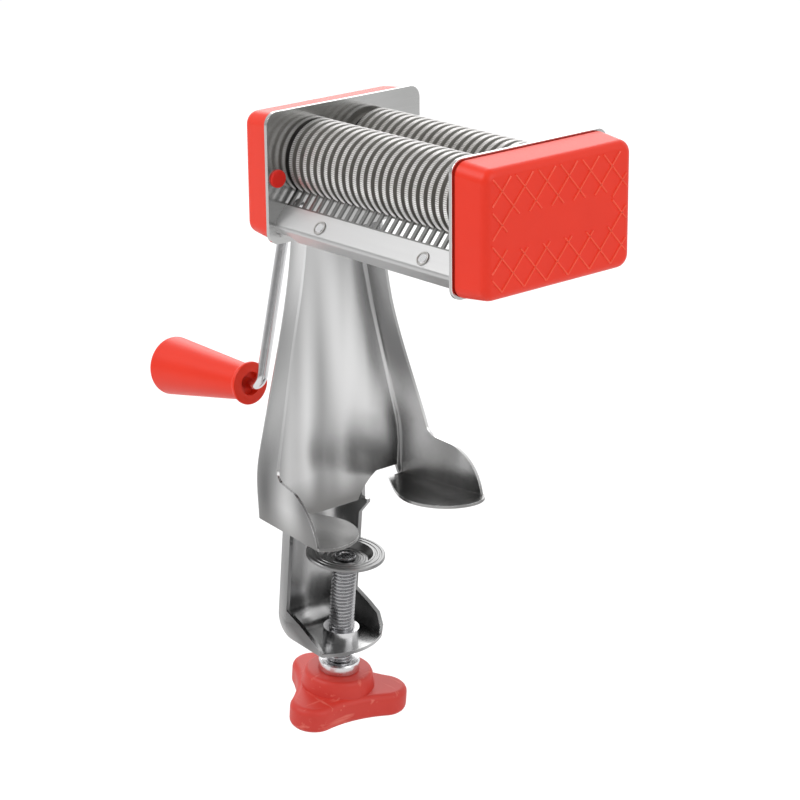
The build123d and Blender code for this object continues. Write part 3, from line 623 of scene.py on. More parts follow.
# ---------------------------------------------------------------- finishes
@dataclass(frozen=True)
class SteelFinish:
    """A metal finish with drawn lines, clouding and light scuffs."""

    name: str
    light: Colour
    dark: Colour
    roughness: float
    stretch: Point
    depth: float = 2e-6  # metres
    cloud_scale: float = 25.0
    spread: float = 0.12
    scuff_dulling: float = 0.06

    def build(self) -> Material:
        """Builds the material."""
        material, sheet, place = start_material(self.name)
        lines, clouds = grain(sheet, place, self.stretch, self.cloud_scale)
        blend = sheet.scaled(clouds, 0.5, sheet.maths("MULTIPLY", lines, 0.5))
        rough = sheet.scaled(lines, self.spread, self.roughness - self.spread / 2)
        sheet.close({
            "Base Color": sheet.mix(blend, self.dark, self.light),
            "Metallic": 1.0,
            "Roughness": sheet.scaled(scuffs(sheet, place), self.scuff_dulling, rough),
            "Normal": sheet.bump(lines, self.depth),
        })
        return material


@dataclass(frozen=True)
class PressedFinish:
    """Drawn sheet: soft upright streaks, painted reflection in colour and draw marks in the bump, over
    a rolled grain, with painted shade towards the soles.
    """

    name: str
    # light, middle and dark: tones of the upright streaks, a painted reflection in the base colour.
    light: Colour = (0.88, 0.88, 0.88)
    middle: Colour = (0.50, 0.50, 0.50)
    dark: Colour = (0.15, 0.15, 0.15)
    # Painted shade on the soles: this colour below the lower height, fading out by the upper one.
    sole: Colour = (0.24, 0.237, 0.232)
    sole_top: float = 0.010  # metres above the table
    sole_low: float = -0.004
    streak: Point = (30.0, 56.0, 7.0)
    streak_low: float = 0.34
    streak_high: float = 0.64
    draw_depth: float = 0.0016  # metres
    rolling: Point = (900.0, 900.0, 40.0)
    rolling_depth: float = 1.2e-6
    cloud_scale: float = 30.0
    roughness: float = 0.24
    spread: float = 0.12

    def build(self) -> Material:
        """Builds the material."""
        material, sheet, place = start_material(self.name)
        lines, _clouds = grain(sheet, place, self.rolling, self.cloud_scale)
        streaks = sheet.noise(sheet.stretched(place, self.streak), 1.0, 1.0)
        # The streaks' colour is painted reflection; their bump below is real draw marks.
        painted_light_tones = [(0.0, self.dark), (0.45, self.middle), (1.0, self.light)]
        painted_reflection_tone = sheet.ramp(sheet.remap(streaks, self.streak_low, self.streak_high), painted_light_tones)
        # Painted shade: darker towards the table, by height in the object's frame.
        height = sheet.node("ShaderNodeSeparateXYZ", {0: place}).outputs[2]
        low = sheet.remap(height, self.sole_top, self.sole_low)
        sheet.close({
            "Base Color": sheet.mix(low, painted_reflection_tone, self.sole),
            "Metallic": 1.0,
            "Roughness": sheet.scaled(lines, self.spread, self.roughness - self.spread / 2),
            "Normal": sheet.bump(lines, self.rolling_depth, sheet.bump(streaks, self.draw_depth)),
        })
        return material


@dataclass(frozen=True)
class RollerFinish:
    """Turned steel coloured by distance from the roller's axis: painted shade on the disc flanks and in
    the grooves, and bright rims as a painted highlight.
    """

    name: str
    axis: Vector
    groove_r: float  # metres
    rim_r: float
    # These three colours are painted light: a highlight on the rims, shade down the flanks and in the
    # grooves.
    rim: Colour = (0.86, 0.85, 0.84)
    flank: Colour = (0.46, 0.45, 0.43)
    groove: Colour = (0.50, 0.485, 0.465)
    turning: Point = (4000.0, 500.0, 500.0)
    depth: float = 3e-6
    cloud_scale: float = 60.0
    dull: float = 0.46
    bright: float = 0.24
    spread: float = 0.16

    def build(self) -> Material:
        """Builds the material."""
        material, sheet, place = start_material(self.name)
        centred = {"Vector": place, "Location": (0, -self.axis.y, -self.axis.z), "Scale": (0, 1, 1)}
        spoke = sheet.node("ShaderNodeMapping", centred).outputs[0]
        radius = sheet.node("ShaderNodeVectorMath", {0: spoke}, operation="LENGTH").outputs["Value"]
        share = sheet.remap(radius, self.groove_r, self.rim_r)
        # Painted shade low down, painted highlight on the rims.
        painted_light_tones = [(0.0, self.groove), (0.40, self.flank), (0.86, self.flank), (0.93, self.rim)]
        lines, _clouds = grain(sheet, place, self.turning, self.cloud_scale)
        dulling = sheet.remap(share, 0.90, 0.97, self.dull, self.bright)
        sheet.close({
            "Base Color": sheet.ramp(share, painted_light_tones),
            "Metallic": 1.0,
            "Roughness": sheet.scaled(lines, self.spread, dulling),
            "Normal": sheet.bump(lines, self.depth),
        })
        return material


@dataclass(frozen=True)
class PlasticFinish:
    """Moulded plastic with a faint skin texture and, on worn pieces, scuffs."""

    name: str
    light: Colour
    dark: Colour
    roughness: float
    wear: float = 0.0
    worn: Colour = (0.78, 0.20, 0.15)
    skin: Point = (1500.0, 1500.0, 1500.0)
    skin_depth: float = 4e-6  # metres
    cloud_scale: float = 45.0
    spread: float = 0.12
    wear_dulling: float = 0.25
    refraction: float = 1.42

    def build(self) -> Material:
        """Builds the material."""
        material, sheet, place = start_material(self.name)
        lines, clouds = grain(sheet, place, self.skin, self.cloud_scale)
        marks = sheet.maths("MULTIPLY", scuffs(sheet, place), self.wear)
        rough = sheet.scaled(lines, self.spread, self.roughness - self.spread / 2)
        sheet.close({
            "Base Color": sheet.mix(marks, sheet.mix(clouds, self.dark, self.light), self.worn),
            "Roughness": sheet.scaled(marks, self.wear_dulling, rough),
            "IOR": self.refraction,
            "Normal": sheet.bump(lines, self.skin_depth),
        })
        return material


def grey(level: float) -> Colour:
    """A neutral colour."""
    return (level, level, level)


def made_of(finish: SteelFinish | PressedFinish | PlasticFinish) -> Material:
    """A field of Finishes that is filled with this finish's material."""
    return field(default_factory=finish.build)


@dataclass
class Finishes:
    """All the finishes of the cutter, each built once."""

    cover: Material = made_of(
        PlasticFinish("red_cover", (0.88, 0.034, 0.009), (0.80, 0.026, 0.006), 0.38)
    )
    # The lattice's ridges in a lighter red: a painted highlight.
    ridge: Material = made_of(
        PlasticFinish("red_ridge", (0.98, 0.12, 0.065), (0.94, 0.10, 0.052), 0.33)
    )
    knob: Material = made_of(
        PlasticFinish("red_knob", (0.66, 0.050, 0.034), (0.56, 0.036, 0.026), 0.45, wear=0.6)
    )
    peg: Material = made_of(
        PlasticFinish("red_peg", (0.84, 0.026, 0.016), (0.76, 0.020, 0.012), 0.32)
    )
    plate: Material = made_of(
        SteelFinish(
            "mirror_plate", (0.66, 0.66, 0.655), (0.46, 0.46, 0.455), 0.17, (60.0, 60.0, 1500.0),
            depth=4e-7, cloud_scale=26.0, spread=0.06,
        )
    )
    pressed: Material = made_of(PressedFinish("pressed_steel"))
    # The jaw's streaks are painted reflection too; its painted sole shade is set a metre down and
    # paints nothing.
    jaw: Material = made_of(
        PressedFinish("jaw_steel", grey(0.62), grey(0.36), grey(0.16), sole_top=-1.0, sole_low=-2.0)
    )
    # Bright metal on the rounded edges: a painted highlight.
    pressed_edge: Material = made_of(
        SteelFinish("rolled_edge", grey(0.96), grey(0.90), 0.22, (300.0, 300.0, 300.0), depth=5e-7)
    )
    bar: Material = made_of(
        SteelFinish("satin_bar", grey(0.64), grey(0.54), 0.36, (30.0, 900.0, 900.0), depth=1.2e-6)
    )
    comb: Material = made_of(
        SteelFinish(
            "comb_sheet", (0.27, 0.27, 0.265), (0.17, 0.17, 0.167), 0.30, (40.0, 900.0, 900.0),
            depth=1.2e-6,
        )
    )
    pad: Material = made_of(
        SteelFinish(
            "pad_steel", grey(0.36), grey(0.20), 0.32, (300.0, 300.0, 300.0),
            depth=1e-6, cloud_scale=60.0,
        )
    )
    thread: Material = made_of(
        SteelFinish(
            "thread_steel", (0.60, 0.60, 0.61), (0.34, 0.34, 0.35), 0.26, (500.0, 500.0, 500.0),
            depth=1e-6, cloud_scale=90.0,
        )
    )
    plated: Material = made_of(
        SteelFinish(
            "bright_plating", (0.86, 0.86, 0.87), (0.72, 0.72, 0.73), 0.18, (700.0, 700.0, 700.0),
            depth=8e-7, cloud_scale=40.0,
        )
    )
    gear: Material = made_of(
        SteelFinish("gear_steel", (0.55, 0.54, 0.52), (0.40, 0.39, 0.38), 0.34, (500.0, 500.0, 500.0))
    )
    nylon: Material = made_of(
        PlasticFinish("white_nylon", (0.80, 0.79, 0.76), (0.74, 0.73, 0.70), 0.45)
    )


# ---------------------------------------------------------------- cutting rollers
@dataclass
class CuttingRoller:
    """A grooved roller, its rims finely serrated, with its shaft."""

    node: str
    body: str
    first_disc: float
    disc_r: float = 14.7
    disc_t: float = 1.85
    pitch: float = 4.0
    core_r: float = 12.3
    shaft_r: float = 4.0
    end_gap: float = 0.5
    columns: int = 240
    tooth_depth: float = 0.40
    rim_band: float = 0.1
    crease: float = 12.0

    def section(self) -> list[Spot]:
        """The roller's half section as (x, radius)."""
        low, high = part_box(self.node)
        start, tip = low.x / MM, high.x / MM
        wall = plate_face(Side.LEFT, outer=False) / MM
        left = wall + self.end_gap
        right = plate_face(Side.RIGHT, outer=False) / MM - self.end_gap
        points = [(start, 0.0), (start, self.shaft_r), (left, self.shaft_r), (left, self.core_r)]
        x = wall + self.first_disc
        while x + self.disc_t / 2 < right:
            near, far = x - self.disc_t / 2, x + self.disc_t / 2
            points += [(near, self.core_r), (near, self.disc_r), (far, self.disc_r), (far, self.core_r)]
            x += self.pitch
        return points + [(right, self.core_r), (right, self.shaft_r), (tip, self.shaft_r), (tip, 0.0)]

    def build(self) -> None:
        """Spins the roller and cuts the serrations into its rims."""
        middle = middle_of(self.node)
        axis = Vector((0.0, middle.y, middle.z))
        axle = Axle(axis, ALONG_X, ALONG_Y)
        piece = lathe(f"{self.node}_turned", axle, self.section(), self.columns)
        column = 2 * math.pi / self.columns
        rim = (self.disc_r - self.rim_band) * MM

        def in_valley(place: Vector, _normal: Vector) -> bool:
            """True on every other column of the rims."""
            spot = place - axis
            if math.hypot(spot.y, spot.z) < rim:
                return False
            return round(math.atan2(spot.z, spot.y) / column) % 2 == 1

        select_where(piece, Element.VERTEX, in_valley)
        shrink = 1 - self.tooth_depth / self.disc_r
        bpy.ops.transform.resize(value=(1, shrink, shrink), center_override=axis)
        make_active(piece)
        bpy.ops.object.shade_smooth_by_angle(angle=math.radians(self.crease))
        steel = RollerFinish(f"{self.node}_steel", axis, self.core_r * MM, self.disc_r * MM)
        finish_piece(piece, self.body, [steel.build()], self.node)


# ---------------------------------------------------------------- pieces that keep their CAD form
@dataclass
class SheetMetal:
    """Plates, bars, combs, stand and jaw: copies of the CAD sheet with their edges broken, the rounds
    mostly in a bright painted highlight.
    """

    finishes: Finishes
    round_w: float = 0.22

    def dress(self, node: str, name: str, materials: Sequence[Material]) -> None:
        """Dresses one piece.

        Args:
            node: the CAD node that is copied and replaced.
            name: the piece's name.
            materials: the sheet's material and, where its edges have their own bright painted
                highlight, that one.
        """
        piece = copy_of_node(node, name)
        for material in materials:
            piece.data.materials.append(material)
        soften(piece, self.round_w * MM, len(materials) - 1)
        smooth(piece)
        finish_piece(piece, "frame", materials, node)

    def build(self) -> None:
        """Dresses every sheet-metal piece."""
        made = self.finishes
        # The bright painted highlight for the rounds.
        edge = made.pressed_edge
        for side in Side:
            node, name = f"{side.word}_side_plate", f"{side.word}_plate_polished"
            self.dress(node, name, [made.plate, edge])
        for end in ("front", "rear"):
            self.dress(f"{end}_cross_bar", f"{end}_bar_satin", [made.bar, edge])
            self.dress(f"{end}_comb", f"{end}_comb_sheet", [made.comb])
        self.dress("stand", "stand_pressing", [made.pressed, edge])
        self.dress("lower_jaw", "lower_jaw_pressing", [made.jaw, edge])


# ---------------------------------------------------------------- rivets and pegs
@dataclass
class Fasteners:
    """Ring rivets on the bars, red pegs through the side plates and the stand's rivets."""

    finishes: Finishes
    bar_slope: float = 49.6
    rivet_xs: Spot = (-25.5, 30.5)
    ring_head_r: float = 2.8
    ring_head_t: float = 0.6
    ring_inner: float = 1.97
    ring_steps: int = 40
    ring_section: Section = (
        (-2.8, 0.0), (-2.8, 2.6), (-2.6, 2.8), (-2.2, 2.8), (-2.2, 1.5), (0.0, 1.5), (0.0, 2.75),
        (0.3, 2.75), (0.55, 2.6), (0.55, 2.3), (0.15, 2.0), (0.15, 1.95), (0.4, 1.7), (0.4, 0.0),
    )
    peg_y: float = 33.0
    peg_steps: int = 48
    peg_section: Section = (
        (-0.9, 0.0), (-0.9, 2.6), (-1.05, 2.9), (-0.95, 3.25), (-0.5, 3.4),
        (0.0, 3.4), (0.0, 2.4), (8.3, 2.4), (8.5, 2.2), (8.5, 0.0),
    )
    ear_y: float = 23.4
    ear_spacing: float = 7.0
    stand_steps: int = 36
    stand_section: Section = (
        (0.9, 0.0), (0.85, 1.6), (0.5, 2.5), (0.0, 2.8), (0.0, 2.0),
        (-2.7, 2.0), (-2.7, 2.8), (-3.3, 2.5), (-3.6, 1.6), (-3.6, 0.0),
    )

    def build(self) -> None:
        """Builds the three groups of fasteners."""
        self.bar_rivets()
        self.pegs()
        self.stand_rivets()

    def ring_seat(self, front: int, up: Vector, out: Vector) -> Vector:
        """Where a bar's ring rivets sit, found from the box of the CAD rivets.

        Args:
            front: 1 for the front bar and -1 for the rear one.
            up: the way up the bar's slope.
            out: the way out of it.

        Returns:
            The seat's place at x = 0, in metres.
        """
        low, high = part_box("comb_rivets")
        reach = low.y if front > 0 else high.y
        head_r, head_t = self.ring_head_r * MM, self.ring_head_t * MM
        seat_y = reach + front * (head_r * abs(up.y) + head_t * abs(out.y))
        return Vector((0, seat_y, high.z - head_r * up.z - head_t * out.z))

    def bar_rivets(self) -> None:
        """Ring rivets through bar and comb, front and rear."""
        slope = math.radians(self.bar_slope)
        shades = [self.finishes.plated, self.finishes.gear]
        made = []
        for front in (1, -1):
            up = Vector((0, front * math.cos(slope), math.sin(slope)))
            out = Vector((0, -front * math.sin(slope), math.cos(slope)))
            for x in self.rivet_xs:
                foot = Vector((x * MM, 0, 0)) + self.ring_seat(front, up, out)
                axle = Axle(foot, out, ALONG_X)
                rivet = lathe("ring_rivet", axle, self.ring_section, self.ring_steps)
                for shade in shades:
                    rivet.data.materials.append(shade)
                for face in rivet.data.polygons:
                    spot = face.center - foot
                    away = (spot - out * spot.dot(out)).length
                    face.material_index = int(away > self.ring_inner * MM)
                made.append(rivet)
        piece = join("comb_ring_rivets", made)
        smooth(piece)
        finish_piece(piece, "frame", shades, "comb_rivets")

    def pegs(self) -> None:
        """Two red pegs in each side plate, their heads inside."""
        height = middle_of("left_side_plate").z
        for side in Side:
            inner = plate_face(side, outer=False)
            made = []
            for y in (-self.peg_y, self.peg_y):
                axle = Axle(Vector((inner, y * MM, height)), Vector((side.value, 0, 0)), ALONG_Y)
                made.append(lathe("peg", axle, self.peg_section, self.peg_steps))
            piece = join(f"{side.word}_red_pegs", made)
            smooth(piece)
            finish_piece(piece, "frame", [self.finishes.peg], f"{side.word}_cover_pegs")

    def stand_rivets(self) -> None:
        """Four round-headed rivets through the left plate and the stand's ears."""
        middle = middle_of("stand_rivets")
        inner = plate_face(Side.LEFT, outer=False)
        made = []
        for y in (-self.ear_y, self.ear_y):
            for rise in (-self.ear_spacing / 2, self.ear_spacing / 2):
                foot = Vector((inner, y * MM, middle.z + rise * MM))
                axle = Axle(foot, ALONG_X, ALONG_Y)
                made.append(lathe("rivet", axle, self.stand_section, self.stand_steps))
        piece = join("stand_round_rivets", made)
        smooth(piece)
        finish_piece(piece, "frame", [self.finishes.plated], "stand_rivets")


# ---------------------------------------------------------------- covers
@dataclass
class Cover:
    """A moulded cover: a deep tray over the gears with a raised lattice on its end."""

    side: Side
    finishes: Finishes
    width: float = 73.4
    height: float = 48.6
    corner_r: float = 5.0
    draft: float = 1.3
    wall: float = 1.6
    edge_r: float = 3.0
    round_steps: int = 6
    floor_share: Spot = (0.965, 0.945)
    rim_step: float = 0.5
    rim_depth: float = 0.7
    ridge_rise: float = 0.45
    ridge_w: float = 0.9
    ridge_top: Spot = (0.985, 0.3)
    ridge_shortest: float = 1.5
    diamond_w: float = 10.6
    diamond_h: float = 11.8
    diamond_at: float = 3.8
    margin: float = 3.0
    band_half_w: float = 25.5
    band_half_h: float = 6.2
    boss_r: float = 2.85
    boss_bore: float = 2.43
    boss_depth: float = 9.0
    boss_steps: int = 32
    peg_y: float = 33.0
    crank_hole_r: float = 5.0
    crank_hole_depth: float = 8.0
    crank_hole_steps: int = 48
    stand_neck: float = 19.9
    stand_slot_gap: float = 0.4
    stand_slot_rise: float = 0.7
    stand_slot_below: float = 2.0
    stand_slot_past: float = 1.0
    mouth: float = field(init=False)  # metres
    end: float = field(init=False)
    centre: Vector = field(init=False)

    def __post_init__(self) -> None:
        """Reads the cover's place from the frame."""
        sign = self.side.value
        low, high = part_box(f"{self.side.word}_cover")
        self.mouth = plate_face(self.side, outer=True)
        self.end = (high.x if sign > 0 else low.x) - sign * self.ridge_rise * MM
        self.centre = Vector((0, 0, middle_of("left_side_plate").z))

    def build(self) -> None:
        """Builds the hollow shell, cuts the left one's openings and adds lattice and bosses."""
        shell = self.shell()
        recalculate(shell)
        if self.side is Side.LEFT:
            self.cut_openings(shell)
        shell.data.materials.append(self.finishes.cover)
        ridges = [self.ridge(start, end) for start, end in self.ridge_lines()]
        cover = join(f"{self.side.word}_cover_moulding", [shell, *ridges, *self.bosses()])
        smooth(cover, 32)
        reds = [self.finishes.cover, self.finishes.ridge]
        finish_piece(cover, "frame", reds, f"{self.side.word}_cover")

    def shell(self) -> Piece:
        """The tray, its edges rounded and its mouth open on the plate."""
        half = Vector((0, self.width / 2 * MM, self.height / 2 * MM))
        seat = self.mouth + self.side.value * self.rim_depth * MM
        low, high = self.centre - half, self.centre + half
        low.x, high.x = sorted((seat, self.end))
        shell = block(f"{self.side.word}_cover_moulding", low, high)
        select_where(shell, Element.EDGE, lambda _middle, along: abs(along.x) > ALIGNED)
        bpy.ops.mesh.bevel(offset=self.corner_r * MM, segments=self.round_steps, affect="EDGES")
        select_where(shell, Element.VERTEX, lambda place, _normal: self.on_end(place))
        lean = 2 * self.draft
        narrow = (1, 1 - lean / self.width, 1 - lean / self.height)
        pivot = Vector((self.end, self.centre.y, self.centre.z))
        bpy.ops.transform.resize(value=narrow, center_override=pivot)
        select_where(
            shell, Element.EDGE, lambda middle, along: self.on_end(middle) and abs(along.x) < ACROSS
        )
        bpy.ops.mesh.bevel(offset=self.edge_r * MM, segments=self.round_steps, affect="EDGES")
        self.hollow(shell, seat)
        return shell

    def on_end(self, place: Vector) -> bool:
        """True for a place in the plane of the cover's end."""
        return abs(place.x - self.end) < NEAR

    def hollow(self, shell: Piece, seat: float) -> None:
        """Steps the rim in for its shadow line, and pushes the mouth in to leave a wall.

        Args:
            shell: the solid tray.
            seat: X of its face towards the plate, in metres.
        """
        select_where(
            shell,
            Element.FACE,
            lambda middle, normal: abs(middle.x - seat) < NEAR and abs(normal.x) > ALIGNED,
        )
        bpy.ops.mesh.inset(thickness=self.rim_step * MM, depth=0)
        self.push(self.mouth - seat)
        bpy.ops.mesh.inset(thickness=(self.wall - self.rim_step) * MM, depth=0)
        self.push(self.side.value * (abs(self.end - self.mouth) - self.wall * MM))
        bpy.ops.transform.resize(value=(1, *self.floor_share), center_override=self.centre)
        bpy.ops.object.mode_set(mode="OBJECT")

    @staticmethod
    def push(run: float) -> None:
        """Extrudes the selected faces this far along X."""
        bpy.ops.mesh.extrude_region_move(TRANSFORM_OT_translate={"value": (run, 0, 0)})

    def bosses(self) -> list[Piece]:
        """The two bosses that hold the pegs."""
        section = (
            (0.0, self.boss_r), (self.boss_depth, self.boss_r),
            (self.boss_depth, self.boss_bore), (0.0, self.boss_bore),
        )
        made = []
        for y in (-self.peg_y, self.peg_y):
            foot = Vector((self.mouth, y * MM, self.centre.z))
            axle = Axle(foot, Vector((self.side.value, 0, 0)), ALONG_Y)
            boss = lathe("boss", axle, section, self.boss_steps, ring=True)
            boss.data.materials.append(self.finishes.cover)
            made.append(boss)
        return made

    def ridge_lines(self) -> list[tuple[Spot, Spot]]:
        """Where the lattice's ridges start and end, as (y, z) from the middle of the end."""
        half_w = self.width / 2 - self.draft - self.margin
        half_h = self.height / 2 - self.draft - self.margin
        run = 2 * half_h / self.diamond_h * self.diamond_w
        reach = int((half_w + run) / self.diamond_w) + 1
        lines = []
        for step in range(-reach, reach + 1):
            foot = self.diamond_at + step * self.diamond_w
            for lean in (-1, 1):
                first, last = (foot, -half_h), (foot + lean * run, half_h)
                span = self.clipped(first, last, half_w, half_h)
                lines += self.outside_band(first, last, span)
        return lines

    @staticmethod
    def clipped(first: Spot, last: Spot, half_w: float, half_h: float) -> Spot:
        """The stretch of a sloping line that lies inside a rectangle about the origin.

        Args:
            first: the line's start.
            last: its end.
            half_w: half the rectangle's width.
            half_h: half its height.

        Returns:
            Start and end of the stretch as shares of the line, the wrong way round if empty.
        """
        low, high = 0.0, 1.0
        for axis, half in enumerate((half_w, half_h)):
            run = last[axis] - first[axis]
            into, out_of = sorted(((-half - first[axis]) / run, (half - first[axis]) / run))
            low, high = max(low, into), min(high, out_of)
        return low, high

    def outside_band(self, first: Spot, last: Spot, span: Spot) -> list[tuple[Spot, Spot]]:
        """What is left of a stretch when the bare band is taken out.

        Args:
            first: the line's start.
            last: its end.
            span: the stretch as two shares of the line.

        Returns:
            The start and the end of each part that is long enough.
        """
        low, high = span
        band_low, band_high = self.clipped(first, last, self.band_half_w, self.band_half_h)
        parts = [span]
        if band_high > band_low:
            parts = [(low, min(high, band_low)), (max(low, band_high), high)]

        def at(share: float) -> Spot:
            """The point at this share of the line."""
            return tuple(a + (b - a) * share for a, b in zip(first, last))

        shortest = self.ridge_shortest / math.dist(first, last)
        return [(at(start), at(end)) for start, end in parts if end - start > shortest]

    def ridge(self, start: Spot, end: Spot) -> Piece:
        """Lays one low ridge on the end face, narrower at its top.

        Args:
            start: where it starts, as (y, z) from the middle of the end.
            end: where it ends.

        Returns:
            The ridge.
        """
        deselect_all()
        bpy.ops.mesh.primitive_cube_add(size=1)
        ridge = bpy.context.object
        sign = self.side.value
        select_where(ridge, Element.VERTEX, lambda place, _normal: place.x * sign > 0)
        bpy.ops.transform.resize(value=(1, *self.ridge_top), center_override=(0, 0, 0))
        bpy.ops.object.mode_set(mode="OBJECT")
        ridge.scale = Vector((self.ridge_rise * 2, math.dist(start, end), self.ridge_w)) * MM
        ridge.rotation_euler = (math.atan2(end[1] - start[1], end[0] - start[0]), 0, 0)
        y, z = ((a + b) / 2 * MM for a, b in zip(start, end))
        ridge.location = Vector((self.end, y, self.centre.z + z))
        settle(ridge)
        # The ridge's lighter red is a painted highlight.
        ridge.data.materials.append(self.finishes.ridge)
        return ridge

    def cut_openings(self, cover: Piece) -> None:
        """Cuts the hole for the crank's shaft and the slot for the stand."""
        shaft = middle_of("rear_roller")
        deselect_all()
        bpy.ops.mesh.primitive_cylinder_add(
            vertices=self.crank_hole_steps,
            radius=self.crank_hole_r * MM,
            depth=self.crank_hole_depth * MM,
            location=(self.end, shaft.y, shaft.z),
            rotation=(0, math.pi / 2, 0),
        )
        cutter = bpy.context.object
        settle(cutter)
        cut_away(cover, cutter)
        low, _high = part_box("stand")
        neck = self.stand_neck * MM
        floor = self.centre.z - self.height / 2 * MM
        top = floor + (self.wall + self.draft + self.stand_slot_rise) * MM
        far = Vector((low.x - self.stand_slot_gap * MM, -neck, floor - self.stand_slot_below * MM))
        near = Vector((self.mouth + self.stand_slot_past * MM, neck, top))
        cut_away(cover, block("stand_slot", far, near))


# ---------------------------------------------------------------- clamp
@dataclass
class Clamp:
    """Clamp screw with its thread, the pad, the collar and the three-lobed knob.

    The sections are (along, radius), along the screw's axis from the clamp's origin.
    """

    finishes: Finishes
    origin: Point = (-54.0, 0.0, -34.0)
    lean: float = 6.0
    crease: float = 28.0
    thread_pitch: float = 1.5
    thread_r: float = 5.0
    thread_depth: float = 0.85
    thread_low: float = -52.0
    thread_top: float = 7.7
    thread_steps: int = 28
    thread_form: Section = ((0, 0.0), (0, 0.12), (1, 0.44), (1, 0.62), (0, 0.94), (0, 1.0))
    stem_inside: float = 0.02
    stem_start: float = 0.5
    shoulder_start: float = 0.9
    shoulder_inside: float = 0.15
    neck_r: float = 3.0
    stem_steps: int = 40
    tip_section: Section = (
        (9.8, 3.0), (9.8, 4.0), (10.0, 4.2), (10.7, 4.2),
        (10.9, 3.9), (10.9, 2.4), (10.6, 2.1), (10.6, 0.0),
    )
    pad_steps: int = 96
    pad_section: Section = (
        (8.0, 3.05), (8.0, 9.5), (10.5, 11.5), (10.5, 15.3), (10.8, 15.7), (11.7, 15.7), (12.0, 15.4),
        (12.0, 14.5), (11.8, 14.3), (11.8, 13.7), (12.0, 13.5), (12.0, 12.7), (11.8, 12.5),
        (11.8, 11.9), (12.0, 11.7), (12.0, 11.0), (9.5, 9.0), (9.5, 8.2), (9.7, 8.0), (9.7, 7.4),
        (9.5, 7.2), (9.5, 6.2), (9.7, 6.0), (9.7, 5.4), (9.5, 5.2), (9.5, 3.05),
    )
    collar_steps: int = 64
    collar_section: Section = (
        (-40.0, 5.03), (-40.0, 7.9), (-39.6, 8.3), (-36.0, 8.3), (-35.5, 7.8), (-35.5, 5.03),
    )
    lobe_r: float = 9.5
    lobe_reach: float = 28.1
    lobe_waist: float = 16.5
    lobe_turn: float = 49.0
    knob_top: float = -46.7
    knob_h: float = 10.3
    knob_edge_r: float = 2.6
    knob_edge_steps: int = 5
    knob_crease: float = 40.0
    outline: int = 180
    hub_steps: int = 96
    hub_section: Section = (
        (-48.7, 0.0), (-48.7, 15.3), (-46.9, 15.0), (-46.1, 14.5),
        (-41.8, 13.9), (-40.6, 13.3), (-40.0, 12.1), (-40.0, 0.0),
    )

    def axle(self) -> Axle:
        """The clamp screw's axis."""
        lean = math.radians(self.lean)
        along = Vector((math.sin(lean), 0, math.cos(lean)))
        return Axle(Vector(self.origin) * MM, along, Vector((math.cos(lean), 0, -math.sin(lean))))

    def placed(self, piece: Piece) -> None:
        """Moves a piece modelled about local Z to the clamp's axis."""
        axle = self.axle()
        side = axle.along.cross(axle.out)
        turn = Matrix((axle.out, side, axle.along)).transposed().to_4x4()
        piece.matrix_world = Matrix.Translation(axle.foot) @ turn
        settle(piece)

    def build(self) -> None:
        """Builds all four pieces."""
        self.screw()
        self.pad()
        self.collar()
        self.knob()

    def thread(self, turns: int) -> Piece:
        """Winds the thread, closed at both ends.

        Args:
            turns: how often it goes round.

        Returns:
            The thread in its place.
        """
        radii = ((self.thread_r - self.thread_depth) * MM, self.thread_r * MM)
        pitch = self.thread_pitch * MM
        form = [Vector((radii[high], 0, share * pitch)) for high, share in self.thread_form]
        thread = open_line(form, "thread")
        apply_modifier(
            thread,
            "SCREW",
            axis="Z",
            angle=2 * math.pi,
            screw_offset=pitch,
            iterations=turns,
            steps=self.thread_steps,
            render_steps=self.thread_steps,
            use_merge_vertices=True,
            merge_threshold=NEAR,
            use_smooth_shade=False,
        )
        thread.location = (0, 0, self.thread_low * MM)
        settle(thread)
        edit_all(thread)
        bpy.ops.mesh.select_mode(type=Element.EDGE.value)
        bpy.ops.mesh.remove_doubles(threshold=NEAR)
        bpy.ops.mesh.select_all(action="DESELECT")
        bpy.ops.mesh.select_non_manifold()
        bpy.ops.mesh.edge_face_add()
        bpy.ops.object.mode_set(mode="OBJECT")
        self.placed(thread)
        recalculate(thread)
        return thread

    def screw(self) -> None:
        """The threaded spindle and its riveted tip."""
        turns = int((self.thread_top - self.thread_low) / self.thread_pitch) - 1
        core_top = self.thread_low + turns * self.thread_pitch
        core_r = self.thread_r - self.thread_depth - self.stem_inside
        shoulder_r = self.thread_r - self.shoulder_inside
        stem = (
            (self.thread_low + self.stem_start, 0.0),
            (self.thread_low + self.stem_start, core_r),
            (core_top + self.stem_start, core_r),
            (core_top + self.shoulder_start, shoulder_r),
            (self.thread_top, shoulder_r),
            (self.thread_top, self.neck_r),
            *self.tip_section,
        )
        thread = self.thread(turns)
        piece = join("clamp_screw_threaded", [thread, lathe("tip", self.axle(), stem, self.stem_steps)])
        smooth(piece, self.crease)
        finish_piece(piece, "screw", [self.finishes.thread], "clamp_screw")

    def pad(self) -> None:
        """The dished pad with its rings."""
        axle = self.axle()
        piece = lathe("pressure_pad_ringed", axle, self.pad_section, self.pad_steps, ring=True)
        smooth(piece, self.crease)
        finish_piece(piece, "pad", [self.finishes.pad], "pressure_pad")

    def collar(self) -> None:
        """The bright collar above the knob."""
        axle = self.axle()
        piece = lathe("knob_collar_turned", axle, self.collar_section, self.collar_steps, ring=True)
        smooth(piece, self.crease)
        finish_piece(piece, "screw", [self.finishes.plated], "knob_collar")

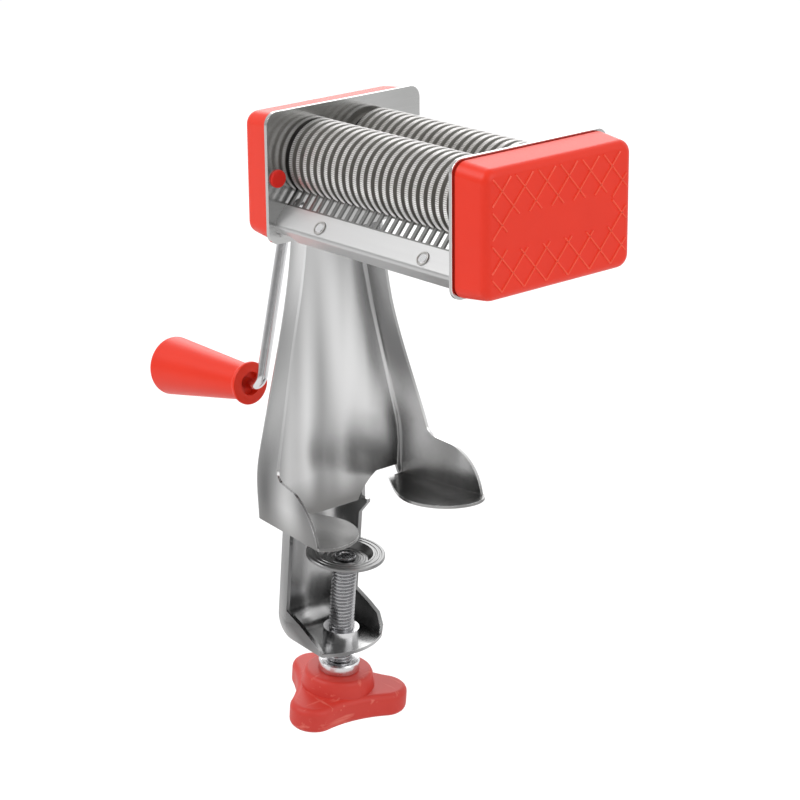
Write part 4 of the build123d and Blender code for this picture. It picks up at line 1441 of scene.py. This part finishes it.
    def lobed_radius(self, angle: float) -> float:
        """The knob's outline: three lobes, their arcs running into the waists' hollow arcs.

        Args:
            angle: the angle from a lobe's middle, in radians.

        Returns:
            The outline's radius there, in millimetres.
        """
        third = math.pi / 3
        near = abs((angle + third) % (2 * third) - third)
        lobe_at = self.lobe_reach - self.lobe_r
        room = self.lobe_waist - lobe_at * math.cos(third)
        square = self.lobe_r**2 - room**2 - (lobe_at * math.sin(third)) ** 2
        waist_r = square / (2 * (room - self.lobe_r))
        waist_at = self.lobe_waist + waist_r
        apart = Vector((waist_at * math.cos(third) - lobe_at, waist_at * math.sin(third)))
        touch = apart.normalized() * self.lobe_r
        if near < math.atan2(touch.y, lobe_at + touch.x):
            rest = math.sqrt(self.lobe_r**2 - (lobe_at * math.sin(near)) ** 2)
            return lobe_at * math.cos(near) + rest
        away = third - near
        return waist_at * math.cos(away) - math.sqrt(waist_r**2 - (waist_at * math.sin(away)) ** 2)

    def knob(self) -> None:
        """The three-lobed knob with its round hub."""
        deselect_all()
        bpy.ops.mesh.primitive_cylinder_add(
            vertices=self.outline,
            radius=1,
            depth=self.knob_h * MM,
            location=(0, 0, (self.knob_top - self.knob_h / 2) * MM),
        )
        body = bpy.context.object
        settle(body)
        for vertex in body.data.vertices:
            angle = math.atan2(vertex.co.y, vertex.co.x)
            radius = self.lobed_radius(angle - math.radians(self.lobe_turn)) * MM
            vertex.co.x, vertex.co.y = radius * math.cos(angle), radius * math.sin(angle)
        select_where(body, Element.FACE, lambda _middle, normal: abs(normal.z) > ALIGNED)
        bpy.ops.mesh.bevel(
            offset=self.knob_edge_r * MM, segments=self.knob_edge_steps, affect="EDGES"
        )
        bpy.ops.object.mode_set(mode="OBJECT")
        self.placed(body)
        hub = lathe("hub", self.axle(), self.hub_section, self.hub_steps)
        piece = join("clamp_knob_moulding", [body, hub])
        smooth(piece, self.knob_crease)
        finish_piece(piece, "screw", [self.finishes.knob], "clamp_knob")


# ---------------------------------------------------------------- crank
@dataclass(frozen=True)
class Bend:
    """A round corner between two straight runs of the rod, in metres and radians."""

    before: Vector
    after: Vector
    corner: Vector
    radius: float

    @property
    def angle(self) -> float:
        """How far the rod turns."""
        return self.before.angle(self.after)

    @property
    def back(self) -> float:
        """How far before and after the corner the arc starts and ends."""
        return self.radius * math.tan(self.angle / 2)

    @property
    def axis(self) -> Vector:
        """What the rod turns about."""
        return self.before.cross(self.after).normalized()

    @property
    def centre(self) -> Vector:
        """The arc's centre."""
        return self.corner - self.before * self.back + self.axis.cross(self.before) * self.radius


@dataclass
class Crank:
    """The bent crank rod and its turning grip."""

    finishes: Finishes
    crease: float = 40.0
    rod_r: float = 2.25
    rod_steps: int = 32
    bend_r: float = 5.0
    bend_steps: int = 14
    in_shaft: float = 11.5
    arm_off: float = 24.9
    arm_length: float = 104.0
    arm_lean: float = 12.8
    pin_droop: float = 4.75
    pin_length: float = 54.0
    bulb_section: Section = (
        (-5.5, 0.0), (-5.5, 2.6), (-5.0, 3.1), (-0.5, 3.1), (0.0, 2.6), (0.0, 0.0),
    )
    grip_from: float = 6.1
    grip_l: float = 54.7
    grip_big_r: float = 12.0
    grip_dome: float = 5.0
    grip_steps: int = 80
    dome_steps: int = 15
    bore_section: Section = (
        (48.9, 0.0), (48.9, 3.15), (41.4, 3.15), (41.4, 2.3), (3.0, 2.3), (3.0, 4.8),
    )
    neck_section: Section = (
        (0.0, 4.8), (0.0, 8.1), (0.2, 8.55), (0.7, 8.75), (1.2, 8.7),
        (1.9, 8.3), (2.7, 7.6), (3.5, 7.25), (4.3, 7.25),
    )
    mouth: Vector = field(init=False)
    arm: Vector = field(init=False)
    pin: Vector = field(init=False)
    arm_top: Vector = field(init=False)
    arm_foot: Vector = field(init=False)
    pin_end: Vector = field(init=False)

    def __post_init__(self) -> None:
        """Works out the crank's corners and directions."""
        lean, droop = math.radians(self.arm_lean), math.radians(self.pin_droop)
        middle = middle_of("rear_roller")
        self.mouth = Vector((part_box("rear_roller")[0].x, middle.y, middle.z))
        self.arm = Vector((0, -math.sin(lean), -math.cos(lean)))
        self.pin = Vector((-math.cos(droop), 0, 0)) + self.arm * math.sin(droop)
        self.pin.normalize()
        self.arm_top = self.mouth - Vector((self.arm_off * MM, 0, 0))
        self.arm_foot = self.arm_top + self.arm * self.arm_length * MM
        self.pin_end = self.arm_foot + self.pin * self.pin_length * MM

    def build(self) -> None:
        """Builds rod and grip."""
        self.rod()
        self.grip()

    def rod(self) -> None:
        """A round rod, drawn straight, bent twice and headed at its end."""
        start = self.mouth + Vector((self.in_shaft * MM, 0, 0))
        deselect_all()
        bpy.ops.mesh.primitive_circle_add(
            vertices=self.rod_steps,
            radius=self.rod_r * MM,
            fill_type="NGON",
            location=start,
            rotation=(0, -math.pi / 2, 0),
        )
        rod = bpy.context.object
        settle(rod)
        edit_all(rod)
        radius = self.bend_r * MM
        upper = Bend(Vector((-1, 0, 0)), self.arm, self.arm_top, radius)
        lower = Bend(self.arm, self.pin, self.arm_foot, radius)
        reached = start
        for bend in (upper, lower):
            self.draw(bend.corner - bend.before * bend.back - reached)
            bpy.ops.mesh.spin(
                steps=self.bend_steps,
                angle=-bend.angle,
                center=bend.centre,
                axis=bend.axis,
                use_auto_merge=False,
            )
            reached = bend.corner + bend.after * bend.back
        self.draw(self.pin_end - reached)
        bpy.ops.object.mode_set(mode="OBJECT")
        recalculate(rod)
        axle = Axle(self.pin_end, self.pin, self.arm)
        piece = join("crank_rod_bent", [rod, lathe("bulb", axle, self.bulb_section, self.rod_steps)])
        smooth(piece, self.crease)
        finish_piece(piece, "rear_roller_set", [self.finishes.plated], "crank_rod")

    @staticmethod
    def draw(run: Vector) -> None:
        """Extrudes the rod's open end by this vector."""
        bpy.ops.mesh.extrude_region_move(TRANSFORM_OT_translate={"value": run})

    def grip(self) -> None:
        """The tapered grip with its domed end."""
        shoulder = self.grip_l - self.grip_dome
        dome = []
        for step in range(self.dome_steps + 1):
            turn = math.pi / 2 * step / self.dome_steps
            along = shoulder + self.grip_dome * math.sin(turn)
            dome.append((along, self.grip_big_r * math.cos(turn)))
        foot = self.arm_foot + self.pin * self.grip_from * MM
        axle = Axle(foot, self.pin, self.arm.cross(self.pin).normalized())
        section = [*self.bore_section, *self.neck_section, *dome]
        piece = lathe("grip_moulding", axle, section, self.grip_steps)
        smooth(piece, self.crease)
        finish_piece(piece, "grip", [self.finishes.cover], "grip")


# ---------------------------------------------------------------- pieces inside the covers
@dataclass
class HiddenGearing:
    """Gears, bushes, spring clips and the jaw's nut: CAD nodes that only take a finish."""

    finishes: Finishes

    def build(self) -> None:
        """Gives each node its material."""
        made = self.finishes
        given = {
            "front_gear": made.gear,
            "rear_gear": made.gear,
            "shaft_bushes": made.nylon,
            "front_shaft_clips": made.plated,
            "rear_shaft_clips": made.plated,
            "jaw_nut": made.plated,
        }
        for node, material in given.items():
            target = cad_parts[node]
            if not target.material_slots:
                raise ValueError(f"{node} has no material slot")
            for slot in target.material_slots:
                slot.material = material
            log.info("%s: CAD node in %s", node, material.name)


# ---------------------------------------------------------------- studio
@dataclass(frozen=True)
class Softbox:
    """A square lamp that looks at the middle of the object."""

    name: str
    place: Point  # metres
    size: float  # metres
    power: float  # watts

    def build(self) -> None:
        """Hangs the lamp."""
        low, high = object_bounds()
        aim = (low + high) / 2 - Vector(self.place)
        bpy.ops.object.light_add(type="AREA", location=self.place)
        lamp = bpy.context.object
        lamp.name = self.name
        lamp.data.shape = "SQUARE"
        lamp.data.size = self.size
        lamp.data.energy = self.power
        lamp.rotation_euler = aim.to_track_quat("-Z", "Y").to_euler()


@dataclass
class Studio:
    """Camera, lamps, world and the pale floor."""

    position: Point = (0.69346, -0.62778, 0.37106)  # metres
    azimuth: float = 48.63
    elevation: float = 18.69
    roll: float = -0.498
    lens: float = 119.24
    sensor: float = 36.0
    clip: Spot = (0.01, 50.0)  # metres
    ambient: float = 0.66
    room_front: Point = (0.35, -0.94, 0.0)
    room_turn: Spot = (-0.3, 0.9)
    room_strength: Spot = (1.0, 0.28)
    floor_size: float = 14.0  # metres
    floor_drop: float = 28.0
    floor_glow: float = 0.80
    lamps: tuple[Softbox, ...] = (
        Softbox("key_softbox", (-0.55, -1.15, 1.35), 1.1, 13.5),
        Softbox("fill_softbox", (1.5, 0.35, 0.9), 1.2, 7.0),
        Softbox("rim_softbox", (-0.85, 0.75, 0.62), 0.9, 4.4),
    )

    def build(self) -> None:
        """Builds the whole studio."""
        self.camera()
        self.world()
        self.floor()
        for lamp in self.lamps:
            lamp.build()
        bpy.context.scene.view_settings.view_transform = "Standard"

    def camera(self) -> None:
        """The camera at the photograph's viewpoint."""
        turn, rise, roll = (math.radians(a) for a in (self.azimuth, self.elevation, self.roll))
        level = math.cos(rise)
        right = Vector((math.cos(turn), math.sin(turn), 0))
        ahead = Vector((-math.sin(turn) * level, math.cos(turn) * level, -math.sin(rise)))
        up = right.cross(ahead)
        rolled_right = right * math.cos(roll) + up * math.sin(roll)
        rolled_up = up * math.cos(roll) - right * math.sin(roll)
        bpy.ops.object.camera_add(location=self.position)
        camera = bpy.context.object
        camera.data.lens = self.lens
        camera.data.sensor_width = self.sensor
        camera.data.clip_start, camera.data.clip_end = self.clip
        turned = Matrix((rolled_right, rolled_up, -ahead)).transposed().to_4x4()
        camera.matrix_world = Matrix.Translation(Vector(self.position)) @ turned
        bpy.context.scene.camera = camera

    def world(self) -> None:
        """White behind the object, an even ambient level, and a graded room in reflections."""
        world = bpy.data.worlds.new("studio_world")
        world.use_nodes = True
        bpy.context.scene.world = world
        sheet = Sheet(world.node_tree)
        ahead = sheet.node("ShaderNodeTexCoord").outputs["Generated"]
        height = sheet.node("ShaderNodeSeparateXYZ", {0: ahead}).outputs[2]
        greys = [(0.0, grey(0.50)), (0.42, grey(0.62)), (0.52, grey(0.95)), (1.0, WHITE)]
        graded = sheet.ramp(sheet.remap(height, -1.0, 1.0), greys)
        inputs = {0: ahead, 1: self.room_front}
        front = sheet.node("ShaderNodeVectorMath", inputs, operation="DOT_PRODUCT").outputs["Value"]
        facing = sheet.remap(front, *self.room_turn, *self.room_strength)
        seen = sheet.shader("ShaderNodeBackground", Color=graded, Strength=facing)
        lit = sheet.shader("ShaderNodeBackground", Color=(*WHITE, 1.0), Strength=self.ambient)
        white = sheet.shader("ShaderNodeBackground", Color=(*WHITE, 1.0), Strength=1.0)
        path = sheet.node("ShaderNodeLightPath").outputs
        glossy = sheet.choose(path["Is Glossy Ray"], lit, seen)
        through = sheet.maths("MAXIMUM", path["Is Camera Ray"], path["Is Transmission Ray"])
        whole = sheet.choose(through, glossy, white)
        sheet.node("ShaderNodeOutputWorld", {"Surface": whole})

    def floor(self) -> None:
        """A plain pale floor under the lowest piece, white to the camera but for the shadow."""
        low, _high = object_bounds()
        deselect_all()
        height = low.z - self.floor_drop * MM
        bpy.ops.mesh.primitive_plane_add(size=self.floor_size, location=(0, 0, height))
        floor = bpy.context.object
        floor.name = "pale_floor"
        material, sheet, place = start_material("pale_floor")
        shade = sheet.mix(sheet.noise(place, 40.0, 2.0), grey(0.80), grey(0.82))
        matt = sheet.shader("ShaderNodeBsdfDiffuse", Color=shade)
        thin = sheet.shader("ShaderNodeBsdfDiffuse", Color=(*grey(0.30), 1.0))
        glow = sheet.shader("ShaderNodeEmission", Color=(*WHITE, 1.0), Strength=self.floor_glow)
        seen = sheet.node("ShaderNodeAddShader", {0: thin, 1: glow}).outputs[0]
        path = sheet.node("ShaderNodeLightPath").outputs
        both = sheet.choose(path["Is Camera Ray"], matt, seen)
        sheet.node("ShaderNodeOutputMaterial", {"Surface": both})
        floor.data.materials.append(material)
        floor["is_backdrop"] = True


def main() -> None:
    """Builds the cutter's looks in order and reports each piece."""
    logging.basicConfig(level=logging.INFO, format="%(name)s: %(message)s")
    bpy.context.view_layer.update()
    finishes = Finishes()
    CuttingRoller("front_roller", "front_roller_set", first_disc=2.1).build()
    CuttingRoller("rear_roller", "rear_roller_set", first_disc=4.1).build()
    SheetMetal(finishes).build()
    Fasteners(finishes).build()
    for side in Side:
        Cover(side, finishes).build()
    Clamp(finishes).build()
    Crank(finishes).build()
    HiddenGearing(finishes).build()
    Studio().build()


if __name__ == "__main__":
    main()
